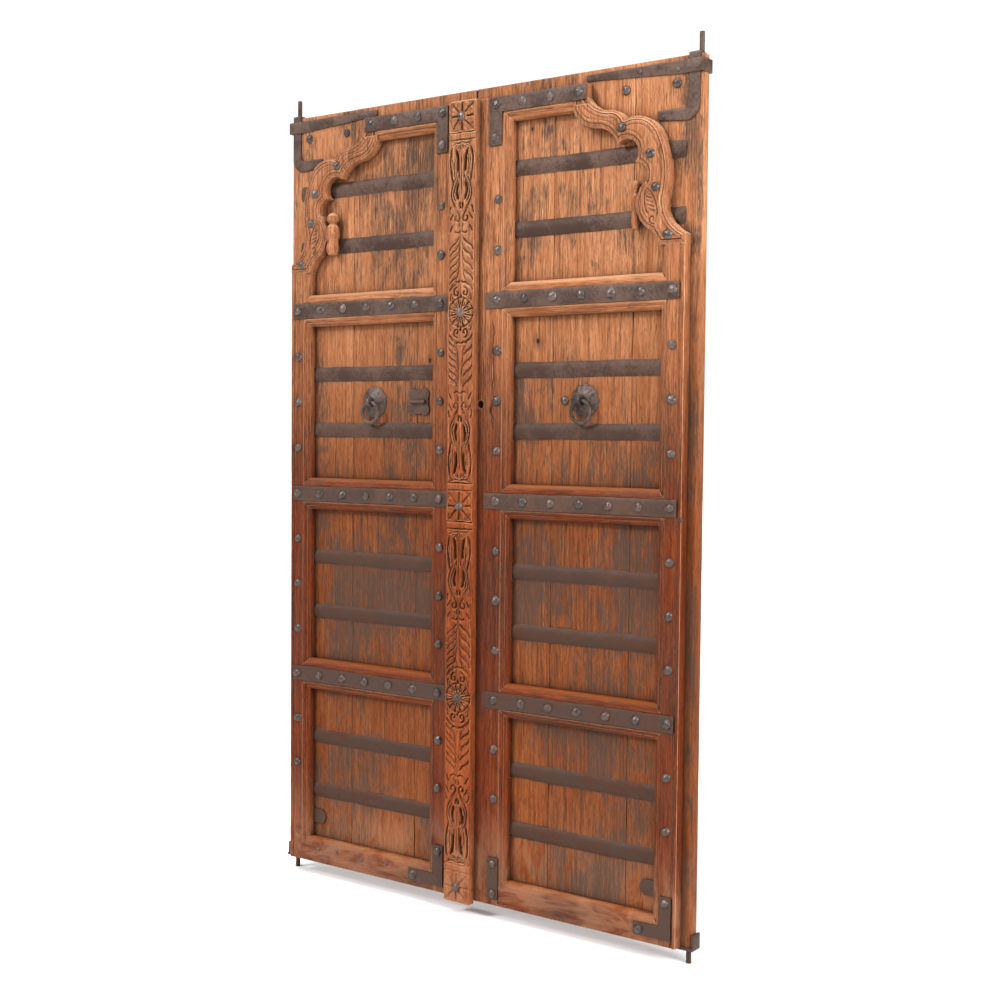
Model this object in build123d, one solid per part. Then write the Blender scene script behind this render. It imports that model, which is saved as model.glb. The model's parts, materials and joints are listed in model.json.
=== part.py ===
import os
from math import atan, cos, degrees, pi, radians, sin

from build123d import *

# Leaf: upright boards carry a frame applied to their front; the leaves meet with a small gap
leaf_width = 624.5
board_rise = 33.0
board_thickness = 32.0
board_joint = 1.0
meeting_gap = 5.0

# Frame of stiles and rails
frame_height = 1977.0
frame_thickness = 28.0
bare_margin = 25.0
outer_stile_width = 65.0
left_inner_stile_width = 118.0
right_inner_stile_width = 120.0
rail_height = 84.0
bottom_rail_height = 64.0
top_rail_height = 60.0
moulding_width = 20.0
bead_width = 12.0
bead_drop = 2.0
quirk_width = 3.0
quirk_depth = 4.0
latch_hole_radius = 10.5
latch_hole_depth = 20.0
latch_hole_inset = 37.0
latch_hole_height = 1236.0

# Joints between the boards as shares of the leaf's width from its outer edge
left_joint_shares = (0.362, 0.708)
right_joint_shares = (0.280, 0.632)

# Middles of the three rails as shares of the frame's height
rail_shares = (0.2585, 0.5058, 0.7532)

# Shares of the moulding's width and of the frame's thickness
bead_start_share = (0.0, 0.05)
bead_end_share = (0.45, 0.18)
bead_crown_share = (0.30, 0.07)
cove_start_share = (0.50, 0.26)
cove_crown_share = (0.84, 0.31)
moulding_foot_share = 0.50
sill_crown_share = (0.62, 0.15)

# Cusped bracket at the outer top corner of each frame
bracket_edge_bead = 7.0
bracket_arc_facets = 7
bracket_relief = 4.0
feather_length = 26.0
feather_width = 5.0
feather_depth = 2.5
feather_count = 5
feather_lean = 35.0
bud_lap = 5.0
left_bud_radius = 20.0
right_bud_radius = 12.5

# Bracket's span as a share of the leaf's width, its height as a share of the frame's
bracket_span_share = 0.482
bracket_height_share = 0.195
# Bracket outline as shares of its span and height: each arc is its middle and its end
bracket_top_share = (0.880, 0.918)
bracket_outer_arc_shares = (
    ((0.787, 0.846), (0.654, 0.817)),
    ((0.585, 0.798), (0.535, 0.753)),
    ((0.342, 0.745), (0.209, 0.631)),
    ((0.148, 0.451), (0.172, 0.265)),
    ((0.138, 0.154), (0.000, 0.058)),
)
bracket_heel_share = (0.289, 0.085)
bracket_inner_arc_shares = (
    ((0.430, 0.239), (0.345, 0.384)),
    ((0.358, 0.462), (0.440, 0.492)),
    ((0.448, 0.616), (0.598, 0.614)),
    ((0.668, 0.688), (0.787, 0.724)),
)
bracket_crook_share = (0.930, 0.767)
feather_start_share = (0.25, 0.13)
feather_end_share = (0.33, 0.36)
# Hanging bud: its height and its belly as shares, then shares of height and girth from the foot up
bud_height_share = 0.285
bud_belly_share = 0.46
bud_profile_shares = (
    (0.0, 0.62),
    (0.14, 0.92),
    (0.33, 0.78),
    (bud_belly_share, 1.0),
    (0.66, 0.84),
    (0.74, 0.48),
    (0.83, 0.86),
    (0.92, 0.80),
    (1.0, 0.34),
)
bud_facets = 8
bracket_stud_shares = ((0.551, 0.704), (0.299, 0.532), (0.252, 0.334), (0.142, 0.052))

# Carved strip that covers the meeting joint, fixed to the left leaf
cover_width = 79.0
cover_thickness = 22.0
cover_overlap = 33.0
cover_rebate = 0.3
cover_drop = 7.0
cover_chamfer = 5.0
cover_block = 78.0
cover_fillet = 18.0
cover_groove = 3.0
carving_depth = 6.0
leaf_rib_width = 9.0
leaf_slot_length = 34.0
leaf_slot_width = 9.0
leaf_slot_lean = 42.0
leaf_slot_count = 5
almond_width = 13.0
scroll_radius = 5.5
petal_width = 9.0
chip_facets = 6
rosette_petals = 12
rosette_inner_radius = 14.0
rosette_outer_radius = 34.0
block_petals = 8
# Shares of the distance from a fillet to the next round rosette
almond_shares = ((0.02, 0.21), (0.23, 0.42))
scroll_shares = (0.47, 0.86)
leaf_start_share = 0.545
leaf_end_share = 0.80
almond_offset_share = 0.24
scroll_offset_share = 0.13
almond_shoulder_share = 0.36
# Share of a chip's length from its middle to its widest place
kite_belly_share = 0.2

# Flat iron on the frame
strap_width = 40.0
strap_thickness = 4.0
strap_margin = 38.0
right_strap_inset = 50.0
corner_width = 36.0
corner_drop = 1.5
left_corner_inset = 64.0
right_corner_inset = 60.0
corner_upright = 115.0
corner_lap = 38.0
foot_width = 30.0
left_foot_iron = (112.0, 105.0)
right_foot_iron = (98.0, 100.0)
foot_iron_rise = 16.0
foot_iron_margin = 37.0
foot_strap_length = 104.0
foot_strap_inset = 72.0

# Crowned iron bars on the boards, two in each panel
bar_width = 40.0
bar_edge = 3.0
bar_crown = 6.0
bar_tuck = 12.0
bar_margin = 40.0
housing_clearance = 0.3
# Shares of a panel's height: between its bars, and up to the middle of the top panel's pair
bar_spacing_share = 0.365
top_bar_share = 0.518

# Pivots: pins on one line through the middle of the boards
pivot_inset = 14.0
pin_radius = 6.0
pin_length = 34.0
upper_pin_length = 46.0
shoe_thickness = 6.0
shoe_length = 60.0
shoe_ear = 30.0
pivot_iron_thickness = 4.0
hook_width = 28.0
hook_drop = 144.0
hook_reach = 112.0
hook_margin = 8.0
hook_tail_taper_share = 0.75
foot_hook_margin = 28.0
foot_hook_width = 32.0
foot_hook_reach = 135.0
foot_hook_height = 120.0
foot_hook_tail = 37.0
band_thickness = 3.0
band_height = 30.0
band_drop = 10.0
band_length = 305.0
band_return = 60.0
band_tip = 14.0

# Dome studs with forged facets
stud_radius = 10.0
stud_height = 6.5
stud_taper = 45.0
stud_facets = 6
strap_stud_count = 7
strap_stud_margin = 22.0
inner_stud_inset = 34.0
upright_stud_count = 3
corner_stud_count = 4
corner_stud_drop = 79.0
# Share of a panel's height between the studs beside it
panel_stud_share = 0.301
board_stud_drop = 58.0
board_stud_places = (66.0, 199.0)

# Ring pulls on the boards between the upper pair of bars, at a share of the leaf's width
pull_share = 0.4825
boss_radius = 40.0
boss_rim = 3.0
boss_height = 14.0
boss_facets = 24
boss_tier_shares = ((0.84, 0.52), (0.58, 0.84), (0.32, 1.0))
scallop_count = 12
scallop_radius = 4.5
ring_radius = 26.5
ring_bar = 9.5
ring_facets = 24
ring_chamfer_share = 0.55
ring_gap = 0.8
ring_stand_off = 1.0
staple_bar = 6.0
eye_play = 1.5
clinch_length = 16.0
side_stud_offset = 57.0
lock_radius = 32.0
lock_facets = 12
lock_lobe_radius = 15.0
lock_lobe_share = 0.85
# Share of the panel's width from its middle to the lock
lock_offset_share = 0.365
lock_thickness = 3.0
lock_bolt_length = 46.0
lock_bolt_size = 9.0
overrun = 5.0

# Depths, from the front (negative) to the back; the pivot line is at zero
board_front = -board_thickness / 2
board_back = board_thickness / 2
frame_front = board_front - frame_thickness
strap_front = frame_front - strap_thickness
cover_front = frame_front - cover_thickness
bracket_front = frame_front - bracket_relief

# Places across and up a leaf, from its outer bottom corner
board_height = frame_height + board_rise
bracket_span = bracket_span_share * leaf_width
bracket_height = bracket_height_share * frame_height
outer_foot = bare_margin + outer_stile_width
outer_arris = outer_foot - moulding_width
bracket_end = bare_margin + bracket_span
bracket_base = frame_height - bracket_height
cover_left = leaf_width + cover_overlap - cover_width
cover_middle = cover_left + cover_width / 2
rail_count = len(rail_shares)
rail_centres = [frame_height * share for share in rail_shares]
panel_floors = [bottom_rail_height] + [z + rail_height / 2 for z in rail_centres]
panel_tops = [z - rail_height / 2 for z in rail_centres] + [frame_height - top_rail_height]
panel_middles = [(low + high) / 2 for low, high in zip(panel_floors, panel_tops)]
panel_middles[-1] = panel_floors[-1] + top_bar_share * (panel_tops[-1] - panel_floors[-1])
panel_height = panel_tops[1] - panel_floors[1]
bar_spacing = bar_spacing_share * panel_height
panel_stud_spacing = panel_stud_share * panel_height
pull_height = panel_middles[2]
leaf_lift = pin_length / 2 + shoe_thickness
ring_axis_y = board_front - boss_height - ring_bar / 2 - ring_stand_off
eye_radius = ring_bar / 2 + eye_play
ring_axis_z = pull_height - eye_radius + ring_bar / 2 + ring_gap


# Shape helpers: the front view has its first axis across the leaf and its second axis up
def box(across, depth, up):
    size = [b - a for a, b in (across, depth, up)]
    middle = [(a + b) / 2 for a, b in (across, depth, up)]
    return Pos(*middle) * Box(*size)


def outline(*points):
    return make_face(Polyline(*points, close=True))


def front_prism(sketch, back, front):
    return extrude(Plane.XZ.offset(-back) * sketch, amount=back - front)


def share_point(share, low, size):
    return (low[0] + share[0] * size[0], low[1] + share[1] * size[1])


def kite(length, width):
    """Chip cut by a chisel: pointed at both ends, widest beyond its middle."""
    belly = length * kite_belly_share
    return outline((-length / 2, 0), (belly, -width / 2), (length / 2, 0), (belly, width / 2))


def faceted(tiers, facets):
    """Stacks frusta of a regular polygon through (radius, height) tiers, as a chisel leaves them."""
    stack = []
    for (low, start), (high, end) in zip(tiers, tiers[1:]):
        draft = degrees(atan((low - high) * cos(pi / facets) / (end - start)))
        frustum = extrude(RegularPolygon(low, facets), end - start, taper=draft)
        stack.append(Pos(0, 0, start) * frustum)
    return Part() + stack


def group(solids):
    return Compound([part.solid() for part in solids])


# Wood: boards, stiles, rails, mouldings
def moulding_section():
    size = (moulding_width, frame_thickness)
    zero = (0, 0)
    bead_start = share_point(bead_start_share, zero, size)
    bead_end = share_point(bead_end_share, zero, size)
    cove_start = share_point(cove_start_share, zero, size)
    foot = (moulding_width, frame_thickness * moulding_foot_share)
    return make_face([
        ThreePointArc(bead_start, share_point(bead_crown_share, zero, size), bead_end),
        Line(bead_end, cove_start),
        ThreePointArc(cove_start, share_point(cove_crown_share, zero, size), foot),
        Polyline(foot, (moulding_width, frame_thickness), (0, frame_thickness), bead_start),
    ])


def sill_section():
    size = (moulding_width, frame_thickness)
    foot = (moulding_width, frame_thickness * moulding_foot_share)
    return make_face([
        ThreePointArc((0, 0), share_point(sill_crown_share, (0, 0), size), foot),
        Polyline(foot, (moulding_width, frame_thickness), (0, frame_thickness), (0, 0)),
    ])


def edge_moulding(section, start, end, mitre_start=True, mitre_end=True):
    """Runs a section along a panel's arris, clockwise seen from the front, with mitred ends."""
    first = Vector(start[0], frame_front, start[1])
    last = Vector(end[0], frame_front, end[1])
    along = (last - first).normalized()
    inward = Vector(0, 1, 0).cross(along)
    run = extrude(Plane(first, x_dir=inward, z_dir=along) * section, amount=(last - first).length)
    head = first + (inward + along * mitre_start) * moulding_width
    tail = last + (inward - along * mitre_end) * moulding_width
    ends = outline(start, end, (tail.X, tail.Z), (head.X, head.Z))
    return run & front_prism(ends, board_front + overrun, frame_front - overrun)


def panel_box(panel, inner_arris):
    low = panel_floors[panel] - moulding_width
    high = panel_tops[panel] + moulding_width
    return (outer_arris, low), (outer_arris, high), (inner_arris, high), (inner_arris, low)


def bar_spans(panel, inner_foot):
    start = bar_margin if panel == rail_count else outer_foot - bar_tuck
    for side in (1, -1):
        yield start, inner_foot + bar_tuck, panel_middles[panel] + side * bar_spacing / 2


def bar_housings(inner_foot):
    room = housing_clearance
    half = bar_width / 2 + room
    return [
        box((start - room, end + room), (board_front - bar_crown - room, board_back), (z - half, z + half))
        for panel in range(rail_count + 1)
        for start, end, z in bar_spans(panel, inner_foot)
    ]


def stile_profile(edge, arris):
    """Plan of a stile's flat part, with a bead and a quirk along its free edge."""
    step = 1 if arris > edge else -1
    bead = edge + step * bead_width
    low = frame_front + bead_drop
    crown = (edge + step * bead_width / 2, frame_front)
    return make_face([
        ThreePointArc((edge, low), crown, (bead, low)),
        Polyline(
            (bead, low),
            (bead + step * quirk_width / 2, frame_front + quirk_depth),
            (bead + step * quirk_width, frame_front),
            (arris, frame_front),
            (arris, board_front),
            (edge, board_front),
            (edge, low),
        ),
    ])


def outer_stile(housings):
    stile = extrude(stile_profile(bare_margin, outer_arris), amount=bracket_base)
    for panel in range(rail_count):
        low, high, _, _ = panel_box(panel, outer_arris)
        stile += edge_moulding(moulding_section(), low, high)
    low = panel_box(rail_count, outer_arris)[0]
    stile += edge_moulding(moulding_section(), low, (outer_arris, bracket_base), mitre_end=False)
    return stile - housings


def inner_stile(inner_arris, housings):
    flat = outline(
        (inner_arris, board_front),
        (inner_arris, frame_front),
        (leaf_width, frame_front),
        (leaf_width, board_front),
    )
    stile = extrude(flat, amount=frame_height)
    for panel in range(rail_count + 1):
        _, _, high, low = panel_box(panel, inner_arris)
        stile += edge_moulding(moulding_section(), high, low)
    return stile - housings


def middle_rail(index, inner_arris):
    _, top_left, top_right, _ = panel_box(index, inner_arris)
    sill_left, _, _, sill_right = panel_box(index + 1, inner_arris)
    flat = box((outer_arris, inner_arris), (frame_front, board_front), (top_left[1], sill_left[1]))
    under = edge_moulding(moulding_section(), top_left, top_right)
    return flat + under + edge_moulding(sill_section(), sill_right, sill_left)


def bottom_rail(inner_arris):
    left, _, _, right = panel_box(0, inner_arris)
    flat = box((outer_arris, inner_arris), (frame_front, board_front), (0, left[1]))
    return flat + edge_moulding(sill_section(), right, left)


def top_rail(inner_arris):
    arris = panel_tops[-1] + moulding_width
    flat = box((bracket_end, inner_arris), (frame_front, board_front), (arris, frame_height))
    start, end = (bracket_end, arris), (inner_arris, arris)
    return flat + edge_moulding(moulding_section(), start, end, mitre_start=False)


def boards(joint_shares, holes):
    joints = [leaf_width * share for share in joint_shares]
    starts = [0] + [joint + board_joint / 2 for joint in joints]
    ends = [joint - board_joint / 2 for joint in joints] + [leaf_width]
    return [
        box(span, (board_front, board_back), (0, board_height)) - holes
        for span in zip(starts, ends)
    ]


# Cusped bracket
def bracket_point(share):
    return share_point(share, (bare_margin, bracket_base), (bracket_span, bracket_height))


def arc_run(start, shares):
    edges = []
    for middle, end in shares:
        edges.append(ThreePointArc(start, bracket_point(middle), bracket_point(end)))
        start = bracket_point(end)
    return edges


def bracket_outline():
    top = bracket_point(bracket_top_share)
    heel = bracket_point(bracket_heel_share)
    toe = bracket_point(bracket_outer_arc_shares[-1][1])
    crook = bracket_point(bracket_inner_arc_shares[-1][1])
    rail_foot = (bracket_end, frame_height - top_rail_height)
    return make_face([
        Line((top[0], frame_height), top),
        *arc_run(top, bracket_outer_arc_shares),
        Polyline(toe, (bare_margin, bracket_base), (outer_foot, bracket_base), heel),
        *arc_run(heel, bracket_inner_arc_shares),
        ThreePointArc(crook, bracket_point(bracket_crook_share), rail_foot),
        Polyline(rail_foot, (bracket_end, frame_height), (top[0], frame_height)),
    ])


def faceted_face(face):
    """The same face with each curved edge cut into short straight ones."""
    points = []
    for edge in face.face().outer_wire().order_edges():
        count = 1 if edge.geom_type == GeomType.LINE else bracket_arc_facets
        points += [edge @ (i / count) for i in range(count)]
    return make_face(Polyline(points, close=True))


def bud(radius):
    """Hanging bud whose belly laps the widest place of the bracket's lower lobe."""
    lobe = bracket_point(bracket_inner_arc_shares[0][0])
    height = bud_height_share * bracket_height
    depth = board_front - radius - housing_clearance
    tiers = [(radius * girth, height * rise) for rise, girth in bud_profile_shares]
    foot = lobe[1] - bud_belly_share * height
    return Pos(lobe[0] + radius - bud_lap, depth, foot) * faceted(tiers, bud_facets)


def feathers():
    first = bracket_point(feather_start_share)
    last = bracket_point(feather_end_share)
    cuts = []
    for i in range(feather_count):
        along = i / (feather_count - 1)
        place = Pos(first[0] + along * (last[0] - first[0]), first[1] + along * (last[1] - first[1]))
        slot = place * Rot(0, 0, feather_lean) * kite(feather_length, feather_width)
        cuts.append(front_prism(slot, bracket_front + feather_depth, bracket_front - overrun))
    return cuts


def bracket(bud_radius, housings):
    shape = bracket_outline()
    body = front_prism(faceted_face(shape), board_front, frame_front)
    relief = front_prism(faceted_face(offset(shape, -bracket_edge_bead)), frame_front, bracket_front)
    clear_of_rail = frame_height - top_rail_height + moulding_width / 2
    relief -= box((0, leaf_width), (bracket_front - overrun, frame_front), (clear_of_rail, board_height))
    return body + relief + bud(bud_radius) - feathers() - housings


# Carved cover strip
def cover_places():
    """Centres of the square blocks and of the round rosettes between them, evenly spaced."""
    first = cover_block / 2 - cover_drop
    last = frame_height - cover_block / 2
    step = (last - first) / 4
    return [first + step * i for i in (0, 2, 4)], [first + step * i for i in (1, 3)]


def petal_ring(z, count, inner, outer):
    length = outer - inner
    middle = (inner + outer) / 2
    return [
        Pos(cover_middle + middle * cos(turn), z + middle * sin(turn))
        * Rot(0, 0, 360 * i / count)
        * kite(length, petal_width)
        for i, turn in ((i, radians(360 * i / count)) for i in range(count))
    ]


def almond(x, low, high):
    half = almond_width / 2
    shoulder = (high - low) * almond_shoulder_share
    return outline(
        (x, low),
        (x + half, low + shoulder),
        (x + half, high - shoulder),
        (x, high),
        (x - half, high - shoulder),
        (x - half, low + shoulder),
    )


def half_run(fillet_end, rosette):
    """Carving from a fillet to the next round rosette, the same on both sides of the middle rib."""
    length = rosette - fillet_end
    cuts = []
    for side in (-1, 1):
        loop_x = cover_middle + side * almond_offset_share * cover_width
        scroll_x = cover_middle + side * scroll_offset_share * cover_width
        for low, high in almond_shares:
            cuts.append(almond(loop_x, fillet_end + low * length, fillet_end + high * length))
        for place in scroll_shares:
            eye = Pos(scroll_x, fillet_end + place * length)
            cuts.append(eye * RegularPolygon(scroll_radius, chip_facets))
        slot_x = cover_middle + side * (leaf_rib_width + leaf_slot_length * cos(radians(leaf_slot_lean))) / 2
        for i in range(leaf_slot_count):
            along = leaf_start_share + (leaf_end_share - leaf_start_share) * i / (leaf_slot_count - 1)
            lean = leaf_slot_lean * side * (1 if length > 0 else -1)
            slot = Rot(0, 0, lean) * kite(leaf_slot_length, leaf_slot_width)
            cuts.append(Pos(slot_x, fillet_end + along * length) * slot)
    return cuts


def cover_strip():
    blocks, rosettes = cover_places()
    right = cover_left + cover_width
    plan = outline(
        (cover_left, frame_front),
        (cover_left, cover_front + cover_chamfer),
        (cover_left + cover_chamfer, cover_front),
        (right - cover_chamfer, cover_front),
        (right, cover_front + cover_chamfer),
        (right, frame_front - cover_rebate),
        (leaf_width, frame_front - cover_rebate),
        (leaf_width, frame_front),
    )
    strip = extrude(Plane.XY.offset(-cover_drop) * plan, amount=frame_height + cover_drop)
    half = cover_block / 2
    for z in blocks:
        strip += box((cover_left, right), (cover_front, frame_front - cover_rebate), (z - half, z + half))
    cuts = []
    for z in rosettes:
        cuts += petal_ring(z, rosette_petals, rosette_inner_radius, rosette_outer_radius)
    for z in blocks:
        cuts += petal_ring(z, block_petals, rosette_inner_radius, rosette_outer_radius)
    for lower, rosette, upper in zip(blocks, rosettes, blocks[1:]):
        low_end = lower + half + cover_fillet
        high_end = upper - half - cover_fillet
        cuts += half_run(low_end, rosette) + half_run(high_end, rosette)
        for edge in (lower + half, low_end, high_end, upper - half):
            cuts.append(Pos(cover_middle, edge) * Rectangle(cover_width + overrun, cover_groove))
    floor = cover_front + carving_depth
    return strip - [front_prism(cut, floor, cover_front - overrun) for cut in cuts]


# Iron on the frame and the boards
def rail_strap(z, end):
    return box((strap_margin, end), (strap_front, frame_front), (z - strap_width / 2, z + strap_width / 2))


def corner_iron(inset):
    edge = leaf_width - inset
    top = frame_height - corner_drop
    shape = outline(
        (bracket_end - corner_lap, top),
        (edge, top),
        (edge, top - corner_upright),
        (edge - corner_width, top - corner_upright),
        (edge - corner_width, top - corner_width),
        (bracket_end - corner_lap, top - corner_width),
    )
    return front_prism(shape, frame_front, strap_front)


def foot_iron(corner, direction, arms):
    """L iron low on the frame: its corner at the given place, its long arm along the rail."""
    reach, rise = arms
    base = foot_iron_rise
    shape = outline(
        (corner, base),
        (corner + direction * reach, base),
        (corner + direction * reach, base + foot_width),
        (corner + direction * foot_width, base + foot_width),
        (corner + direction * foot_width, base + rise),
        (corner, base + rise),
    )
    return front_prism(shape, frame_front, strap_front)


def panel_bars(panel, inner_foot):
    solids = []
    for start, end, z in bar_spans(panel, inner_foot):
        low = (board_front - bar_edge, z - bar_width / 2)
        high = (board_front - bar_edge, z + bar_width / 2)
        section = make_face([
            Polyline(low, (board_front, low[1]), (board_front, high[1]), high),
            ThreePointArc(high, (board_front - bar_crown, z), low),
        ])
        solids.append(extrude(Plane.YZ.offset(start) * section, amount=end - start))
    return group(solids)


def pivot_pin(low, length):
    return Pos(pivot_inset, 0, low) * Cylinder(
        pin_radius, length, align=(Align.CENTER, Align.CENTER, Align.MIN)
    )


def upper_pivot():
    """Pin on a cap over the board's top corner, with a tail that hooks inwards on the front."""
    front = board_front - pivot_iron_thickness
    right = hook_margin + hook_width
    bend = board_height - hook_drop + hook_width
    tip = hook_width * hook_tail_taper_share
    turn = hook_width / 2
    inner = right + turn
    hook = make_face([
        Polyline((inner, bend), (hook_reach, bend), (hook_reach, bend - tip), (inner, bend - hook_width)),
        ThreePointArc(
            (inner, bend - hook_width),
            (hook_margin + turn / 2, bend - turn),
            (hook_margin, bend + turn),
        ),
        Polyline(
            (hook_margin, bend + turn),
            (hook_margin, board_height),
            (right, board_height),
            (right, bend + turn),
        ),
        ThreePointArc((right, bend + turn), (right + turn / 4, bend + turn / 4), (inner, bend)),
    ])
    tail = front_prism(hook, board_front, front)
    cap = box((hook_margin, right), (front, board_back), (board_height, board_height + shoe_thickness))
    return tail + cap + pivot_pin(board_height + shoe_thickness, upper_pin_length)


def lower_pivot():
    """Pin under a shoe, with a tail that runs up behind the outer stile and shows in the panel."""
    front = board_front - pivot_iron_thickness
    right = foot_hook_margin + foot_hook_width
    half = foot_hook_tail / 2
    low = foot_hook_height - half
    high = foot_hook_height + half
    tail = make_face([
        Polyline(
            (foot_hook_reach - half, high),
            (foot_hook_margin, high),
            (foot_hook_margin, 0),
            (right, 0),
            (right, low),
            (foot_hook_reach - half, low),
        ),
        ThreePointArc(
            (foot_hook_reach - half, low),
            (foot_hook_reach, foot_hook_height),
            (foot_hook_reach - half, high),
        ),
    ])
    plate = front_prism(tail, board_front, front)
    shoe = box((-shoe_thickness, shoe_length), (front, board_back), (-shoe_thickness, 0))
    ear = box((-shoe_thickness, 0), (board_front, board_back), (-shoe_thickness, shoe_ear))
    return plate + shoe + ear + pivot_pin(-shoe_thickness - pin_length, pin_length)


def lower_pivot_housing():
    """Room cut in the back of the outer stile for the lower pivot's tail."""
    room = housing_clearance
    half = foot_hook_tail / 2 + room
    front = board_front - pivot_iron_thickness - room
    upright = box(
        (foot_hook_margin - room, foot_hook_margin + foot_hook_width + room),
        (front, board_back),
        (-overrun, foot_hook_height),
    )
    tail = box(
        (foot_hook_margin - room, foot_hook_reach + room),
        (front, board_back),
        (foot_hook_height - half, foot_hook_height + half),
    )
    return upright + tail


def upper_band():
    """Strap that wraps the board's outer edge over the hooked tail and tapers along the front."""
    step = pivot_iron_thickness
    thick = band_thickness
    seat = hook_margin + hook_width + step
    plan = outline(
        (band_return, board_back),
        (0, board_back),
        (0, board_front - step),
        (seat, board_front - step),
        (seat + step, board_front),
        (band_length, board_front),
        (band_length, board_front - thick),
        (seat + step, board_front - thick),
        (seat, board_front - step - thick),
        (-thick, board_front - step - thick),
        (-thick, board_back + thick),
        (band_return, board_back + thick),
    )
    high = board_height - band_drop
    low = high - band_height
    band = extrude(Plane.XY.offset(low) * plan, amount=band_height)
    taper = outline((seat + step, low), (band_length, high - band_tip), (band_length, low))
    return band - front_prism(taper, board_front, board_front - thick - overrun)


def stud(across, depth, up):
    head = extrude(RegularPolygon(stud_radius, stud_facets), stud_height, taper=stud_taper)
    return Plane(origin=(across, depth, up), x_dir=(1, 0, 0), z_dir=(0, -1, 0)) * head


def spread(first, last, count):
    return [first + (last - first) * i / (count - 1) for i in range(count)]


# Ring pulls and lock
def staple_holes(across, back, front):
    room = housing_clearance
    half = staple_bar / 2 + room
    inner = eye_radius - room
    outer = eye_radius + staple_bar + room
    return [
        box((across - half, across + half), (front, back), (pull_height + low, pull_height + high))
        for low, high in ((inner, outer), (-outer, -inner))
    ]


def ring_boss(across, scalloped):
    tiers = [(boss_radius, 0), (boss_radius, boss_rim)]
    tiers += [(boss_radius * girth, boss_height * height) for girth, height in boss_tier_shares]
    seat = Plane(origin=(across, board_front, pull_height), x_dir=(1, 0, 0), z_dir=(0, -1, 0))
    boss = seat * faceted(tiers, boss_facets)
    if scalloped:
        for i in range(scallop_count):
            turn = radians(360 * i / scallop_count)
            rim = Pos(across + boss_radius * cos(turn), pull_height + boss_radius * sin(turn))
            notch = rim * RegularPolygon(scallop_radius, chip_facets)
            boss -= front_prism(notch, board_front, board_front - boss_height)
    return boss - staple_holes(across, board_front, board_front - boss_height)


def ring_staple(across):
    """Staple of square bar: an eye in front, two legs through boss and board, ends bent over behind."""
    outer = eye_radius + staple_bar
    back = board_back + staple_bar
    length = back - ring_axis_y
    leg_middle = Pos((ring_axis_y + back) / 2, pull_height)
    legs = leg_middle * Rectangle(length, 2 * outer)
    eye = Pos(ring_axis_y, pull_height) * Circle(outer)
    before_eye = Pos(ring_axis_y - overrun - eye_radius, pull_height)
    gap = leg_middle * Rectangle(length + 2 * overrun, 2 * eye_radius)
    gap -= before_eye * Rectangle(2 * (overrun + eye_radius), 4 * outer)
    shape = legs + eye - gap - Pos(ring_axis_y, pull_height) * Circle(eye_radius)
    for side in (1, -1):
        bent = Pos(board_back + staple_bar / 2, pull_height + side * (outer + clinch_length / 2))
        shape += bent * Rectangle(staple_bar, clinch_length)
    return extrude(Plane.YZ.offset(across - staple_bar / 2) * shape, amount=staple_bar)


def pull_ring(across):
    half = ring_bar / 2
    shape = RegularPolygon(ring_radius + half, ring_facets) - RegularPolygon(ring_radius - half, ring_facets)
    place = Pos(across, ring_axis_z - ring_radius)
    ring = front_prism(place * shape, ring_axis_y + half, ring_axis_y - half)
    rims = ring.edges().filter_by(Axis.Y, reverse=True)
    return chamfer(rims, half * ring_chamfer_share)


def lock_plate(across):
    shape = Pos(across, pull_height) * RegularPolygon(lock_radius, lock_facets)
    reach = lock_radius * lock_lobe_share
    for dx, dz in ((1, 1), (1, -1), (-1, 1), (-1, -1)):
        lobe = (across + dx * reach * cos(radians(45)), pull_height + dz * reach * sin(radians(45)))
        shape += Pos(*lobe) * RegularPolygon(lock_lobe_radius, lock_facets)
    return front_prism(shape, board_front, board_front - lock_thickness)


def lock_bolt(across):
    front = board_front - lock_thickness
    half = lock_bolt_size / 2
    bolt = box(
        (across - lock_bolt_length / 2, across + lock_bolt_length / 2),
        (front - lock_bolt_size, front),
        (pull_height - half, pull_height + half),
    )
    return chamfer(bolt.edges().filter_by(Axis.X).group_by(Axis.Y)[0], half / 2)


# One leaf, outer edge at zero, seen from the front with the outer edge on the left
def leaf_studs(inner_foot, strap_end, corner_inset, extra):
    studs = []
    outer_line = (strap_margin + outer_arris) / 2
    inner_line = inner_foot + inner_stud_inset
    last = min(inner_line, strap_end - strap_stud_margin)
    for z in rail_centres:
        studs += [(x, strap_front, z) for x in spread(outer_line, last, strap_stud_count)]
    for panel in range(rail_count + 1):
        middle = panel_middles[panel]
        rows = [middle + panel_stud_spacing * (i - 1) for i in range(upright_stud_count)]
        top_panel = panel == rail_count
        bottom_panel = panel == 0
        keep = rows[:2] if top_panel else rows[1:] if bottom_panel else rows
        studs += [(inner_line, frame_front, z) for z in keep]
        if not top_panel:
            studs += [(outer_line, frame_front, z) for z in keep]
    corner = leaf_width - corner_inset - corner_width / 2
    bar_z = frame_height - corner_drop - corner_width / 2
    bar_start = bracket_end - corner_lap + strap_stud_margin
    studs += [(x, strap_front, bar_z) for x in spread(bar_start, corner, corner_stud_count)]
    studs.append((corner, strap_front, bar_z - corner_stud_drop))
    for share in bracket_stud_shares:
        x, z = bracket_point(share)
        studs.append((x, bracket_front, z))
    studs += [(x, board_front, board_height - board_stud_drop) for x in board_stud_places]
    return group([stud(*place) for place in studs + extra])


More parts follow.
